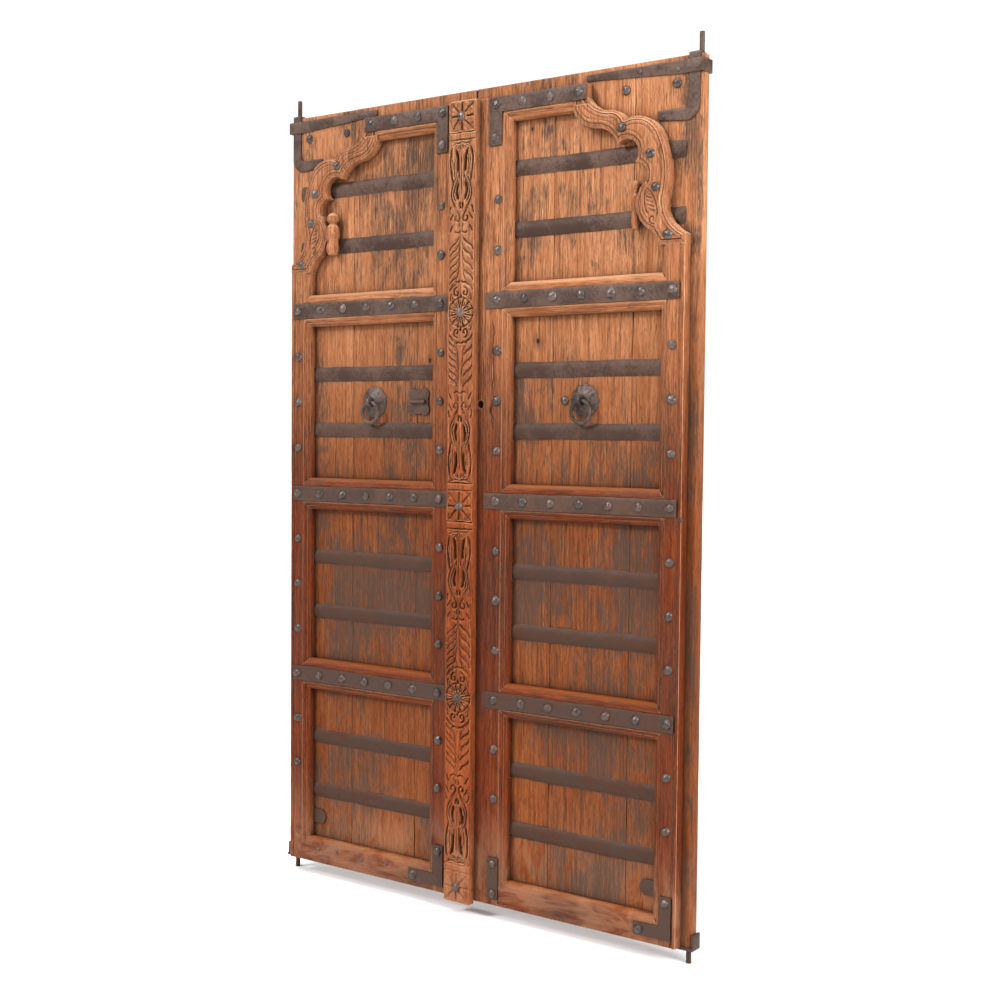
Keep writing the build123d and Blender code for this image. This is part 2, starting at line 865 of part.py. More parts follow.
def leaf(inner_stile_width, joint_shares, strap_end, corner_inset, bud_radius, scalloped, extra_studs):
    inner_foot = leaf_width - inner_stile_width
    inner_arris = inner_foot + moulding_width
    pull = pull_share * leaf_width
    housings = bar_housings(inner_foot)
    holes = staple_holes(pull, board_back + overrun, board_front - overrun)
    nodes = {}
    for name, board in zip(("outer_board", "middle_board", "inner_board"), boards(joint_shares, holes)):
        nodes[name] = board
    nodes["outer_stile"] = outer_stile(housings + [lower_pivot_housing()])
    nodes["inner_stile"] = inner_stile(inner_arris, housings)
    nodes["top_rail"] = top_rail(inner_arris)
    nodes["bottom_rail"] = bottom_rail(inner_arris)
    nodes["arch_bracket"] = bracket(bud_radius, housings)
    for i, name in enumerate(("lower", "middle", "upper")):
        nodes[name + "_rail"] = middle_rail(i, inner_arris)
        nodes[name + "_strap"] = rail_strap(rail_centres[i], strap_end)
    for i, name in enumerate(("bottom", "lower", "upper", "top")):
        nodes[name + "_panel_bars"] = panel_bars(i, inner_foot)
    nodes["top_corner_iron"] = corner_iron(corner_inset)
    nodes["upper_pivot_band"] = upper_band()
    nodes["upper_pivot"] = upper_pivot()
    nodes["lower_pivot"] = lower_pivot()
    nodes["ring_boss"] = ring_boss(pull, scalloped)
    nodes["ring_staple"] = ring_staple(pull)
    nodes["pull_ring"] = pull_ring(pull)
    nodes["studs"] = leaf_studs(inner_foot, strap_end, corner_inset, extra_studs(pull))
    return nodes


def foot_iron_studs(corner, direction, arms):
    reach, rise = arms
    half = foot_width / 2
    base = foot_iron_rise
    return [
        (corner + direction * half, strap_front, base + rise - half),
        (corner + direction * (reach - half), strap_front, base + half),
    ]


left_foot_corner = leaf_width - left_corner_inset
right_foot_strap = leaf_width - foot_strap_inset - foot_width
left = leaf(
    left_inner_stile_width,
    left_joint_shares,
    cover_left - housing_clearance,
    left_corner_inset,
    left_bud_radius,
    False,
    lambda pull: foot_iron_studs(left_foot_corner, -1, left_foot_iron),
)
right = leaf(
    right_inner_stile_width,
    right_joint_shares,
    leaf_width - right_strap_inset,
    right_corner_inset,
    right_bud_radius,
    True,
    lambda pull: foot_iron_studs(foot_iron_margin, 1, right_foot_iron)
    + [(pull + side_stud_offset, board_front, pull_height)]
    + [(right_foot_strap + foot_width / 2, strap_front, foot_iron_rise + z) for z in
       (foot_width / 2, foot_strap_length - foot_width / 2)],
)

# Pieces that only one leaf has
left["inner_foot_iron"] = foot_iron(left_foot_corner, -1, left_foot_iron)
left["cover_strip"] = cover_strip()
cover_blocks, cover_rosettes = cover_places()
left["cover_strip_studs"] = group([stud(cover_middle, cover_front, z) for z in cover_blocks + cover_rosettes])
left_inner_foot = leaf_width - left_inner_stile_width
lock_middle = (outer_foot + left_inner_foot) / 2 + lock_offset_share * (left_inner_foot - outer_foot)
left["lock_plate"] = lock_plate(lock_middle)
left["lock_bolt"] = lock_bolt(lock_middle)
right["inner_foot_strap"] = box(
    (right_foot_strap, right_foot_strap + foot_width),
    (strap_front, frame_front),
    (foot_iron_rise, foot_iron_rise + foot_strap_length),
)
right["outer_foot_iron"] = foot_iron(foot_iron_margin, 1, right_foot_iron)
latch_hole = Pos(leaf_width - latch_hole_inset, latch_hole_height) * Circle(latch_hole_radius)
right["inner_stile"] -= front_prism(latch_hole, frame_front + latch_hole_depth, frame_front - overrun)

# The left pivot line is the origin; the right leaf is the left-hand form mirrored
pair_width = 2 * leaf_width + meeting_gap
os.makedirs("parts", exist_ok=True)
for name, shape in left.items():
    export_step(Pos(-pivot_inset, 0, leaf_lift) * shape, f"parts/left_{name}.step")
for name, shape in right.items():
    mirrored = mirror(shape, about=Plane.YZ)
    export_step(Pos(pair_width - pivot_inset, 0, leaf_lift) * mirrored, f"parts/right_{name}.step")
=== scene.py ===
import json
import math
import random

import bpy
import numpy as np
from mathutils import Euler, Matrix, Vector, noise


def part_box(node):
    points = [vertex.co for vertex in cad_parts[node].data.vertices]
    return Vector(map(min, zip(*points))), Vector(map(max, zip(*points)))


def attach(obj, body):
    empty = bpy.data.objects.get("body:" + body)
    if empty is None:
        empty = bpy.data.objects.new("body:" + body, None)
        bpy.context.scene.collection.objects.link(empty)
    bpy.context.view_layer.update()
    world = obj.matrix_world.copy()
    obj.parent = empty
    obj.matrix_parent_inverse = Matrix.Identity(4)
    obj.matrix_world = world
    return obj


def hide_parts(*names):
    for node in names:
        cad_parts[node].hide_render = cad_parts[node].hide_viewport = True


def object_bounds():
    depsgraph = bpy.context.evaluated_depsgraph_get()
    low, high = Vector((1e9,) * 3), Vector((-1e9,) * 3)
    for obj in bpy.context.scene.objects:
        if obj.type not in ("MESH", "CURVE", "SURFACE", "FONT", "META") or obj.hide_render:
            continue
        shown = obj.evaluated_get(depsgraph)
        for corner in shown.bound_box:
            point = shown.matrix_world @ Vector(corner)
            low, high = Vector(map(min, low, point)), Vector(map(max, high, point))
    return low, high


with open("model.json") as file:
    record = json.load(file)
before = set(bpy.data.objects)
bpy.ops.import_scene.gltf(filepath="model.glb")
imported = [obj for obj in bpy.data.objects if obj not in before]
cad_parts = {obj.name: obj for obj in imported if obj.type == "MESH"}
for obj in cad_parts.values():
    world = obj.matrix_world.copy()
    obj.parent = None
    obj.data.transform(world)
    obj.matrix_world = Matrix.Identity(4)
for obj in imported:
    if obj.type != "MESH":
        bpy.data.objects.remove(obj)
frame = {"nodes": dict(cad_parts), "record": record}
cad_low, cad_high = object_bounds()

MM = 0.001

# Camera, fitted to the photograph's view
CAMERA_AT = (2.7868, -2.9048, 1.1844)
CAMERA_TURN = (87.439, -0.515, 35.947)
CAMERA_LENS = 52.26
CAMERA_SENSOR = 36

# Places closer together than this count as one
TOUCH = 0.1 * MM

# Worn edges of the wood and iron pieces
WOOD_ROUND = 2.0 * MM
IRON_ROUND = 0.9 * MM
LONG_EDGE = 14.0 * MM

# Boards
BOARD_ROUND = 1.4 * MM
OUTER_ROUND = 9.0 * MM
BOARD_CUTS = 70
LONG_RUN = 500 * MM
BOARD_WAVE = 0.7 * MM
BOARD_BITE = 6.0 * MM

# Hammered straps and bars
STRAP_STEP = 7.0 * MM
STRAP_ROWS = 8
STRAP_WAVE = 1.3 * MM
STRAP_DENT = 0.55 * MM
STRAP_BEND = 1.2 * MM
STRAP_LIP = 0.9 * MM
STRAP_CROWN = 0.4 * MM
BAR_WIDTH = 40 * MM
BAR_CROWN = 4.4 * MM

# Stud heads
STUD_SEGMENTS = 14
STUD_RINGS = 8
STUD_RADIUS = 11.6 * MM
STUD_HEIGHT = 7.6 * MM
STUD_LEAN = 1.6 * MM

# Small nails on the front, in millimetres, and the bent ends of the studs' nails on the back
SMALL_NAILS = {
    "left": ((118, -44, 60), (184, -44, 64), (273, -44, 60), (359, -44, 64)),
    "right": ((1080, -20, 2012), (1177, -20, 2004), (1142, -20, 1903), (1214, -44, 998)),
}
SMALL_NAIL_SIZE = 0.42
CLINCH_LENGTH = 22.0 * MM
CLINCH_RADIUS = 2.3 * MM

# Ring pulls and the round plates behind them
RING_SEGMENTS, RING_SIDES = 72, 18
BOSS_SEGMENTS = 96
BOSS_RINGS = 13
BOSS_INSET = 0.07
BOSS_RIM = 1.0 * MM
BOSS_RIDGE = 0.8 * MM
BOSS_DENT = 0.7 * MM

# Hooks of the upper pivots, rounded all over by the hammer
HOOK_VOXEL = 1.5 * MM

# Carved strip: grid step, blocks and fillets, and the run from a fillet to a rosette, in millimetres
CARVING_STEP = 1.4
BLOCK = 78.0
FILLET = 18.0
RUN = 420.0
# Cuts of one side of a run: half width, depth, then places across from the middle and along from the fillet
RUN_CUTS = (
    # hanging petals under the fillet
    (2.3, 4.2, ((0, 3), (9, 8), (21, 7), (34, 2))),
    (1.9, 3.4, ((2.5, 9), (4, 16), (8, 24))),
    (1.9, 3.4, ((7, 11), (10, 17), (15, 22))),
    (1.9, 3.0, ((13, 11), (17, 15), (22, 16))),
    # pair of ribs and the tall leaf beside them
    (1.6, 2.6, ((0, 24), (0, 70), (0, 150))),
    (4.4, 8.0, ((21, 18), (14.5, 32), (11.5, 50), (11, 66), (13, 80))),
    (2.0, 4.0, ((8, 60), (7.5, 80), (8, 96))),
    (2.7, 6.0, ((27, 12), (32, 28), (34, 50), (32.5, 72), (28, 95), (26, 108))),
    (1.8, 3.2, ((22, 34), (20, 48), (23, 62), (21, 78), (23, 94))),
    (1.7, 2.6, ((27.5, 40), (26.5, 60), (27.5, 82))),
    (2.0, 4.0, ((20, 12), (24, 10), (28, 13))),
    # lower loop
    (2.1, 4.6, ((9, 84), (15, 98), (22, 114), (24.5, 130), (21, 143), (13, 154))),
    (2.1, 4.4, ((14, 82), (21, 96), (28, 112), (30.5, 131), (27, 147), (15, 164), (5, 178))),
    (4.2, 8.0, ((10, 96), (13, 110), (15, 124), (12.5, 138), (10, 147))),
    (1.7, 2.8, ((18, 132), (20, 122), (19, 112))),
    # crossing strands that end in a scroll
    (2.3, 5.2, (
        (29, 150), (19, 166), (8, 180), (5, 189), (9, 197),
        (16, 196), (19.5, 189), (15.5, 184), (11, 187),
    )),
    (3.0, 5.5, ((3.5, 150), (4.5, 158), (1, 168))),
    (2.2, 4.6, ((30, 158), (35, 169), (37, 182))),
    (2.0, 4.2, ((23, 176), (29, 186), (36, 198))),
    (2.0, 4.2, ((24, 204), (30, 214), (36.5, 226))),
    (1.8, 3.4, ((3, 198), (5, 206), (3, 214))),
    # leaf's tip, rib and foot
    (2.1, 4.6, ((0, 217), (4, 223), (10, 226), (16, 224), (19, 219))),
    (1.8, 3.6, ((3.5, 230), (4.5, 262), (6, 300), (8.5, 324), (14, 338), (22, 341))),
    (2.3, 5.2, ((0, 341), (6, 346), (13, 346), (19, 341))),
    (2.0, 4.2, ((22, 346), (29, 356), (36, 368))),
    # scroll eyes above the rosette
    (2.3, 5.2, (
        (5, 360), (11, 358), (18, 362), (20.5, 370), (17, 378),
        (10.5, 378), (8, 372), (11.5, 368), (14.5, 371),
    )),
    (2.8, 6.0, ((0, 373), (0, 382), (0, 390))),
    (2.0, 3.8, ((27, 372), (32, 382), (31, 396))),
    (1.8, 3.2, ((24, 380), (27, 388), (26, 396))),
)
# Leaf of a run: where it starts and ends, the pitch of its lobes left and right, their depth
LEAF_SPAN = (229.0, 340.0)
LOBE_PITCH = (17.0, 25.0)
LOBE_DEPTH = 4.6
LOBE_CUT = 5.0
# How much wider and deeper the gouge went than the drawn cuts
GOUGE_WIDTH = 1.25
GOUGE_DEPTH = 1.45

# Brackets: mesh size, and the grooves beside the edge as place, half width and depth in millimetres
BRACKET_VOXEL = 1.35 * MM
EDGE_GROOVES = ((9.0, 2.6, 4.4), (18.5, 2.2, 2.8))
# Scrolled feather on the lower lobe of a bracket: middle from the outer side and the foot, half size, lean
FEATHER_AT = (88.0, 90.0)
FEATHER_HALF = (20.0, 50.0)
FEATHER_COS, FEATHER_SIN = 0.97, 0.26
FEATHER_CUTS = (
    (1.9, 2.8, ((-4, -36), (-12, -20), (-13, 5), (-8, 28), (2, 42))),
    (1.9, 2.8, ((9, -22), (14, -8), (14, 10), (9, 28), (2, 42))),
    (1.9, 2.8, ((-4, -36), (2, -43), (10, -40), (12, -31), (6, -26), (0, -30), (3, -35))),
    (1.7, 2.4, ((-9, -18), (0, -13), (9, -4))),
    (1.7, 2.4, ((-9, -8), (0, -3), (10, 6))),
    (1.7, 2.4, ((-9, 2), (0, 7), (9, 16))),
    (1.7, 2.4, ((-8, 12), (0, 17), (7, 25))),
    (1.7, 2.2, ((-6, 22), (0, 27), (4, 33))),
)

LEAVES = ("left", "right")

# Knots of a board: place across, height and radius, in metres
BOARD_KNOTS = {
    "right_inner": ((0.780, 1.918, 0.005), (0.802, 1.411, 0.007)),
    "left_inner": ((0.470, 1.372, 0.006),),
}
# Cracks of the right inner stile: place across, lower and upper ends, half width, in metres
CRACK_FADE = 0.02
CRACK_BEND = 34 * MM
STILE_CRACKS = ((0.690, 1.19, 1.47, 2.2 * MM), (0.687, 1.225, 1.265, 6.0 * MM), (0.700, 0.62, 0.86, 1.5 * MM))


# Small helpers for working on one piece at a time
def take(obj):
    bpy.ops.object.select_all(action="DESELECT")
    obj.select_set(True)
    bpy.context.view_layer.objects.active = obj


def edit(obj):
    take(obj)
    bpy.ops.object.mode_set(mode="EDIT")
    bpy.ops.mesh.select_all(action="SELECT")


def done():
    bpy.ops.object.mode_set(mode="OBJECT")


def points(obj):
    flat = np.empty(len(obj.data.vertices) * 3)
    obj.data.vertices.foreach_get("co", flat)
    return flat.reshape(-1, 3)


def set_points(obj, co):
    obj.data.vertices.foreach_set("co", co.astype(np.float32).ravel())
    obj.data.update()


def normals(obj):
    flat = np.empty(len(obj.data.vertices) * 3)
    obj.data.vertices.foreach_get("normal", flat)
    return flat.reshape(-1, 3)


TILT = np.array(Euler((0.7, 0.5, 0.9)).to_matrix())


def wander(co, size, seed):
    """Smooth noise at each point, with features of about the given size, askew to the axes."""
    askew = co @ TILT / size + (seed, 1.7 * seed, 0.3)
    return np.array([noise.noise(p) for p in askew.tolist()])


def apply_modifier(obj, kind, **settings):
    take(obj)
    modifier = obj.modifiers.new(kind.title(), kind)
    for name, value in settings.items():
        setattr(modifier, name, value)
    bpy.ops.object.modifier_apply(modifier=modifier.name)


def smooth(obj, angle):
    take(obj)
    bpy.ops.object.shade_smooth_by_angle(angle=math.radians(angle))


def cad_copy(node, name):
    """A merged copy of a CAD node's mesh, for working on."""
    obj = bpy.data.objects.new(name, frame["nodes"][node].data.copy())
    bpy.context.scene.collection.objects.link(obj)
    obj.data.materials.clear()
    edit(obj)
    bpy.ops.mesh.customdata_custom_splitnormals_clear()
    bpy.ops.mesh.remove_doubles(threshold=0.01 * MM)
    done()
    return obj


def body_of(node):
    for body, members in frame["record"]["behaviour"]["bodies"].items():
        if node in members:
            return body
    raise ValueError(node)


def paint(obj, material):
    obj.data.materials.clear()
    obj.data.materials.append(material)


def dress(obj, node, material):
    """Puts a finished piece in the place of a CAD node, on the same body."""
    paint(obj, material)
    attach(obj, body_of(node))
    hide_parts(node)
    return obj


# Materials
class Wire:
    """A value in a material's nodes: sums, products and powers of wires add Math nodes."""

    def __init__(self, tree, socket):
        self.tree = tree
        self.socket = socket

    def math(self, operation, *values):
        node = self.tree.nodes.new("ShaderNodeMath")
        node.operation = operation
        for socket, value in zip(node.inputs, values):
            if isinstance(value, Wire):
                self.tree.links.new(value.socket, socket)
            else:
                socket.default_value = value
        return Wire(self.tree, node.outputs[0])

    def __add__(self, other):
        return self.math("ADD", self, other)

    def __radd__(self, other):
        return self.math("ADD", other, self)

    def __sub__(self, other):
        return self.math("SUBTRACT", self, other)

    def __rsub__(self, other):
        return self.math("SUBTRACT", other, self)

    def __mul__(self, other):
        return self.math("MULTIPLY", self, other)

    def __rmul__(self, other):
        return self.math("MULTIPLY", other, self)

    def __pow__(self, other):
        return self.math("POWER", self, other)

    def __abs__(self):
        return self.math("ABSOLUTE", self)


def opaque(colour):
    return colour if isinstance(colour, Wire) else (*colour, 1)


class Finish:
    """One material under construction."""

    def __init__(self, name):
        self.material = bpy.data.materials.new(name)
        self.material.use_nodes = True
        self.tree = self.material.node_tree
        self.shader = self.tree.nodes["Principled BSDF"]
        self.place = self.node("TexCoord", out="Object")

    def node(self, kind, settings=None, inputs=None, out=0):
        node = self.tree.nodes.new("ShaderNode" + kind)
        for name, value in (settings or {}).items():
            setattr(node, name, value)
        for name, value in (inputs or {}).items():
            if isinstance(value, Wire):
                self.tree.links.new(value.socket, node.inputs[name])
            else:
                node.inputs[name].default_value = value
        return Wire(self.tree, node.outputs[out])

    def stretched(self, scale, shift):
        return self.node("Mapping", None, {"Vector": self.place, "Scale": scale, "Location": shift})

    def noise(self, scale, shift, detail, rough, distort=0.0):
        where = self.stretched(scale, shift)
        inputs = {"Vector": where, "Scale": 1.0, "Detail": detail, "Roughness": rough, "Distortion": distort}
        return self.node("TexNoise", None, inputs, "Fac")

    def step(self, value, low, high):
        """0 below low, 1 above high, smooth between."""
        settings = {"interpolation_type": "SMOOTHSTEP"}
        return self.node("MapRange", settings, {"Value": value, "From Min": low, "From Max": high})

    def mix(self, factor, a, b, blend="MIX"):
        inputs = {0: factor, 6: opaque(a), 7: opaque(b)}
        return self.node("Mix", {"data_type": "RGBA", "blend_type": blend}, inputs, 2)

    def along(self, axis):
        """Place along one axis, in metres."""
        return self.node("SeparateXYZ", None, {"Vector": self.place}, axis)

    def facing(self, axis, start, full):
        """0 to 1 as a face turns from one lean to another along an axis."""
        normal = self.node("NewGeometry", None, None, "Normal")
        return self.step(self.node("SeparateXYZ", None, {"Vector": normal}, axis), start, full)

    def edges(self, radius):
        """About 1 on arrises and corners, 0 on flats."""
        rounded = self.node("Bevel", {"samples": 3}, {"Radius": radius})
        true = self.node("NewGeometry", None, None, "Normal")
        dot = self.node("VectorMath", {"operation": "DOT_PRODUCT"}, {0: rounded, 1: true}, "Value")
        return self.step(1 - dot, 0.01, 0.16)

    def hollow(self, distance, start, full):
        """About 1 in corners and hollows, 0 on open faces."""
        open_sky = self.node("AmbientOcclusion", {"samples": 4}, {"Distance": distance}, "AO")
        return self.step(1 - open_sky, start, full)

    def bump(self, height, distance, strength, normal=None):
        inputs = {"Height": height, "Distance": distance, "Strength": strength}
        if normal is not None:
            inputs["Normal"] = normal
        return self.node("Bump", None, inputs)

    def set(self, **inputs):
        for name, value in inputs.items():
            socket = self.shader.inputs[name.replace("_", " ")]
            if isinstance(value, Wire):
                self.tree.links.new(value.socket, socket)
            else:
                socket.default_value = value
        return self.material


def lengthwise(along, across, run):
    """Texture scale for grain: fine across, drawn out along one axis."""
    return (run, across, across) if along == "X" else (across, across, run)


def old_wood(name, along, seed, tones, weather, wear, cracks=(), knots=()):
    """Old waxed hardwood: grain, dark flecks, weathered patches, pale worn arrises, paler up-facing faces
    (dust and painted top light), painted shade and dirt in the hollows, painted shade and dirt towards the
    bottom.
    """
    light, middle, dark, worn, shade = tones
    f = Finish(name)
    shift = (seed * 3.1, seed * 1.3, seed * 2.3)
    wide = f.noise((3.4, 3.4, 2.9), (0, 0, 0.35), 2.0, 0.5)
    blotch = f.noise(lengthwise(along, 21.0, 9.0), shift, 4.0, 0.65, 0.8)
    figure = f.noise(lengthwise(along, 70.0, 2.6), shift, 5.0, 0.65, 1.2)
    grain = f.noise(lengthwise(along, 270.0, 6.0), shift, 5.0, 0.72, 0.5)
    flecks = f.noise(lengthwise(along, 520.0, 34.0), shift, 4.0, 0.75, 0.4)
    pores = f.noise(lengthwise(along, 1150.0, 34.0), shift, 2.0, 0.6)
    low = 1 - f.step(f.along("Z"), 0.9, 1.75)
    tired = f.step(blotch * 0.45 + wide * 0.55 + low * 0.03, 0.43, 0.64) * f.facing("Y", -0.3, -0.8)
    colour = f.mix(f.step(figure * 0.5 + blotch * 0.3 + grain * 0.2, 0.39, 0.62), middle, light)
    colour = f.mix((1 - f.step(grain, 0.30, 0.44)) * 0.45, colour, worn)
    colour = f.mix(f.step(grain + tired * 0.05, 0.52, 0.64) * 0.75, colour, dark)
    colour = f.mix(f.step(pores, 0.46, 0.66) * 0.45, colour, dark)
    colour = f.mix(f.step(flecks + tired * 0.07, 0.53, 0.66) * 0.75, colour, dark)
    # Up-facing faces paler: settled dust and painted top light
    up = f.facing("Z", 0.3, 0.8)
    colour = f.mix(up * 0.35, colour, worn)
    # Painted shade, partly dirt: darker and redder towards the bottom, as the light falls off downwards
    colour = f.mix(low, colour, f.mix(1.0, colour, shade, "MULTIPLY"))
    foot = 1 - f.step(f.along("Z"), 0.07, 0.30)
    colour = f.mix(foot * f.step(blotch, 0.32, 0.66) * 0.62, colour, FOOT_DUST)
    if weather:
        soot = f.step(flecks * 0.4 + grain * 0.3 + figure * 0.3 + tired * 0.24, 0.56, 0.78)
        colour = f.mix(soot * weather, colour, SOOT)
        colour = f.mix(tired * weather * 0.22, colour, WEATHERED)
    # Painted shade with dirt: darker in deep hollows (less on up-facing faces) and in narrow creases
    hollow = f.hollow(30 * MM, 0.12, 0.72) * (1 - up * 0.85)
    crease = f.hollow(5 * MM, 0.25, 0.75)
    colour = f.mix(hollow * 0.86, colour, HOLLOW_SHADE_AND_GRIME)
    colour = f.mix(crease * 0.7, colour, CREASE_SHADE_AND_DIRT)
    for across, low_end, high_end, deep in cracks:
        bend = f.noise((0.0, 0.0, 19.0), (0, 0, seed), 4.0, 0.6) - 0.5
        gap = abs(f.along("X") - across - bend * CRACK_BEND)
        begun = f.step(f.along("Z"), low_end, low_end + CRACK_FADE)
        inside = begun * (1 - f.step(f.along("Z"), high_end - CRACK_FADE, high_end))
        colour = f.mix((1 - f.step(gap, 0.4 * MM, deep)) * inside, colour, OPEN_GAP)
    for across, height, radius in knots:
        dx, dz = f.along("X") - across, f.along("Z") - height
        gap = (dx * dx * 2.2 + dz * dz) ** 0.5 + (blotch - 0.5) * radius
        colour = f.mix((1 - f.step(gap, radius, radius * 4)) * 0.55, colour, dark)
        colour = f.mix(1 - f.step(gap, radius * 0.5, radius * 1.2), colour, OPEN_GAP)
    rubbed = f.edges(2.4 * MM) * f.step(flecks + blotch * 0.6, 0.50, 0.90) * (1 - crease)
    colour = f.mix(rubbed * wear * (1 - low * 0.45), colour, worn)
    ridge = flecks * 0.5 + pores * 0.2 + figure * 0.4 + grain * 0.8
    normal = f.bump(ridge, 2.0 * MM, 0.85)
    rough = 0.46 + flecks * 0.22 + hollow * 0.2 - rubbed * 0.08
    return f.set(Base_Color=colour, Roughness=rough, Normal=normal, Specular_IOR_Level=0.11)


def forged_iron(name, seed, tones, dent, rust=0.5, shine=0.22):
    """Hammered iron: shallow dents, brown rust in patches, bare grey on rubbed edges, greyer and lighter
    higher up and browner lower down, painted shade with dirt in the hollows.
    """
    dark, grey, brown = tones
    f = Finish(name)
    shift = (seed * 2.1, seed * 0.9, seed * 1.7)
    wide = f.noise((14, 14, 14), shift, 4.0, 0.6)
    fine = f.noise((170, 170, 170), shift, 4.0, 0.65)
    grit = f.noise((620, 620, 620), shift, 2.0, 0.6)
    where = f.stretched((1000 / dent,) * 3, shift)
    cells = {"Vector": where, "Scale": 1.0, "Smoothness": 0.7}
    dents = f.node("TexVoronoi", {"feature": "SMOOTH_F1"}, cells, "Distance")
    # Lighter and greyer higher up, darker and browner lower down
    high = f.step(f.along("Z"), 0.5, 1.75)
    colour = f.mix(f.step(wide + (fine - 0.5) * 0.7, 0.38, 0.66), dark, f.mix(high, brown, grey))
    spots = f.step(fine + (wide - 0.5) * 0.6, 0.54, 0.72)
    colour = f.mix(spots * rust, colour, brown)
    rubbed = f.edges(1.6 * MM) * f.step(fine, 0.36, 0.62)
    colour = f.mix(rubbed * 0.45, colour, BARE_IRON)
    # Painted shade with dirt in the hollows of the iron
    hollow = f.hollow(10 * MM, 0.25, 0.8)
    colour = f.mix(hollow * 0.6, colour, IRON_SHADE_AND_DIRT)
    rough = 0.47 - shine * 0.45 + fine * 0.22 + spots * 0.16 - rubbed * 0.08
    normal = f.bump(dents, 1.6 * MM, 0.6, f.bump(fine * 0.7 + grit * 0.3, 0.7 * MM, 0.7))
    return f.set(Base_Color=colour, Roughness=rough, Metallic=0.1, Normal=normal, Specular_IOR_Level=shine)


# Wood: light, middle and dark grain, worn arrises (also the paler up-facing faces, dust with painted top
# light), and the painted shade of the lower half, partly dirt
BOARD_TONES = (
    (0.49, 0.214, 0.098),
    (0.30, 0.106, 0.038),
    (0.070, 0.027, 0.012),
    (0.62, 0.36, 0.21),
    (0.45, 0.29, 0.15),
)
FRAME_TONES = (
    (0.45, 0.180, 0.076),
    (0.245, 0.078, 0.025),
    (0.050, 0.016, 0.006),
    (0.70, 0.42, 0.24),
    (0.38, 0.175, 0.062),
)
CARVED_TONES = (
    (0.43, 0.176, 0.080),
    (0.250, 0.083, 0.029),
    (0.052, 0.016, 0.006),
    (0.74, 0.46, 0.28),
    (0.68, 0.37, 0.17),
)
# Dust and weather on the wood, painted shade with dirt in its hollows and creases, and the dark of cracks and
# knots
FOOT_DUST = (0.29, 0.128, 0.064)
WEATHERED = (0.105, 0.050, 0.030)
SOOT = (0.036, 0.024, 0.018)
HOLLOW_SHADE_AND_GRIME = (0.026, 0.009, 0.004)
CREASE_SHADE_AND_DIRT = (0.016, 0.008, 0.005)
OPEN_GAP = (0.010, 0.006, 0.004)
# Iron: dark skin, grey higher up, brown lower down and where rusted; bare metal where rubbed; painted shade
# with dirt in the hollows
STRAP_TONES = ((0.040, 0.021, 0.014), (0.092, 0.056, 0.042), (0.048, 0.017, 0.008))
STUD_TONES = ((0.022, 0.014, 0.011), (0.100, 0.070, 0.058), (0.056, 0.024, 0.015))
BARE_IRON = (0.21, 0.15, 0.125)
IRON_SHADE_AND_DIRT = (0.014, 0.010, 0.008)


# Steps that several pieces share
def twin_of(piece):
    twin = piece.copy()
    twin.data = piece.data.copy()
    bpy.context.scene.collection.objects.link(twin)
    return twin


def turned(co, angle):
    """Points turned about the origin in the front view."""
    c, s = math.cos(angle), math.sin(angle)
    return np.stack([c * co[:, 0] - s * co[:, 2], co[:, 1], s * co[:, 0] + c * co[:, 2]], 1)


def closed_behind(obj, front, back):
    """Draws the open edge of a front face back to a plane and fills the back."""
    edit(obj)
    bpy.ops.mesh.select_all(action="DESELECT")
    bpy.ops.mesh.select_mode(type="EDGE")
    bpy.ops.mesh.select_non_manifold()
    bpy.ops.mesh.extrude_region_move(TRANSFORM_OT_translate={"value": (0, back - front, 0)})
    done()
    co = points(obj)
    chosen = np.array([vertex.select for vertex in obj.data.vertices])
    co[chosen, 1] = back
    set_points(obj, co)
    bpy.ops.object.mode_set(mode="EDIT")
    bpy.ops.mesh.edge_face_add()
    bpy.ops.mesh.select_all(action="SELECT")
    bpy.ops.mesh.normals_make_consistent(inside=False)
    done()


# Pieces made from the CAD solids by rounding their long edges as wear does
def softened(node, width, material):
    obj = cad_copy(node, "worn_" + node)
    edit(obj)
    bpy.ops.mesh.dissolve_limited(angle_limit=math.radians(1.0))
    done()
    mesh = obj.data
    weight = mesh.attributes.new("bevel_weight_edge", "FLOAT", "EDGE")
    faces_of = [[] for _ in mesh.edges]
    for face in mesh.polygons:
        for key in face.loop_indices:
            faces_of[mesh.loops[key].edge_index].append(face.normal)
    for edge, sides in zip(mesh.edges, faces_of):
        a, b = (mesh.vertices[i].co for i in edge.vertices)
        sharp = len(sides) == 2 and sides[0].dot(sides[1]) < math.cos(math.radians(28))
        weight.data[edge.index].value = float(sharp and (a - b).length > LONG_EDGE)
    apply_modifier(obj, "BEVEL", limit_method="WEIGHT", width=width, segments=2, use_clamp_overlap=False)
    smooth(obj, 40)
    return dress(obj, node, material)


def forged_hook(node, material):
    """A bar bent and drawn out under the hammer: the solid with all its edges rounded."""
    obj = cad_copy(node, "forged_" + node)
    apply_modifier(obj, "REMESH", mode="VOXEL", voxel_size=HOOK_VOXEL, adaptivity=0.0)
    apply_modifier(obj, "SMOOTH", factor=0.5, iterations=8)
    smooth(obj, 180)
    return dress(obj, node, material)


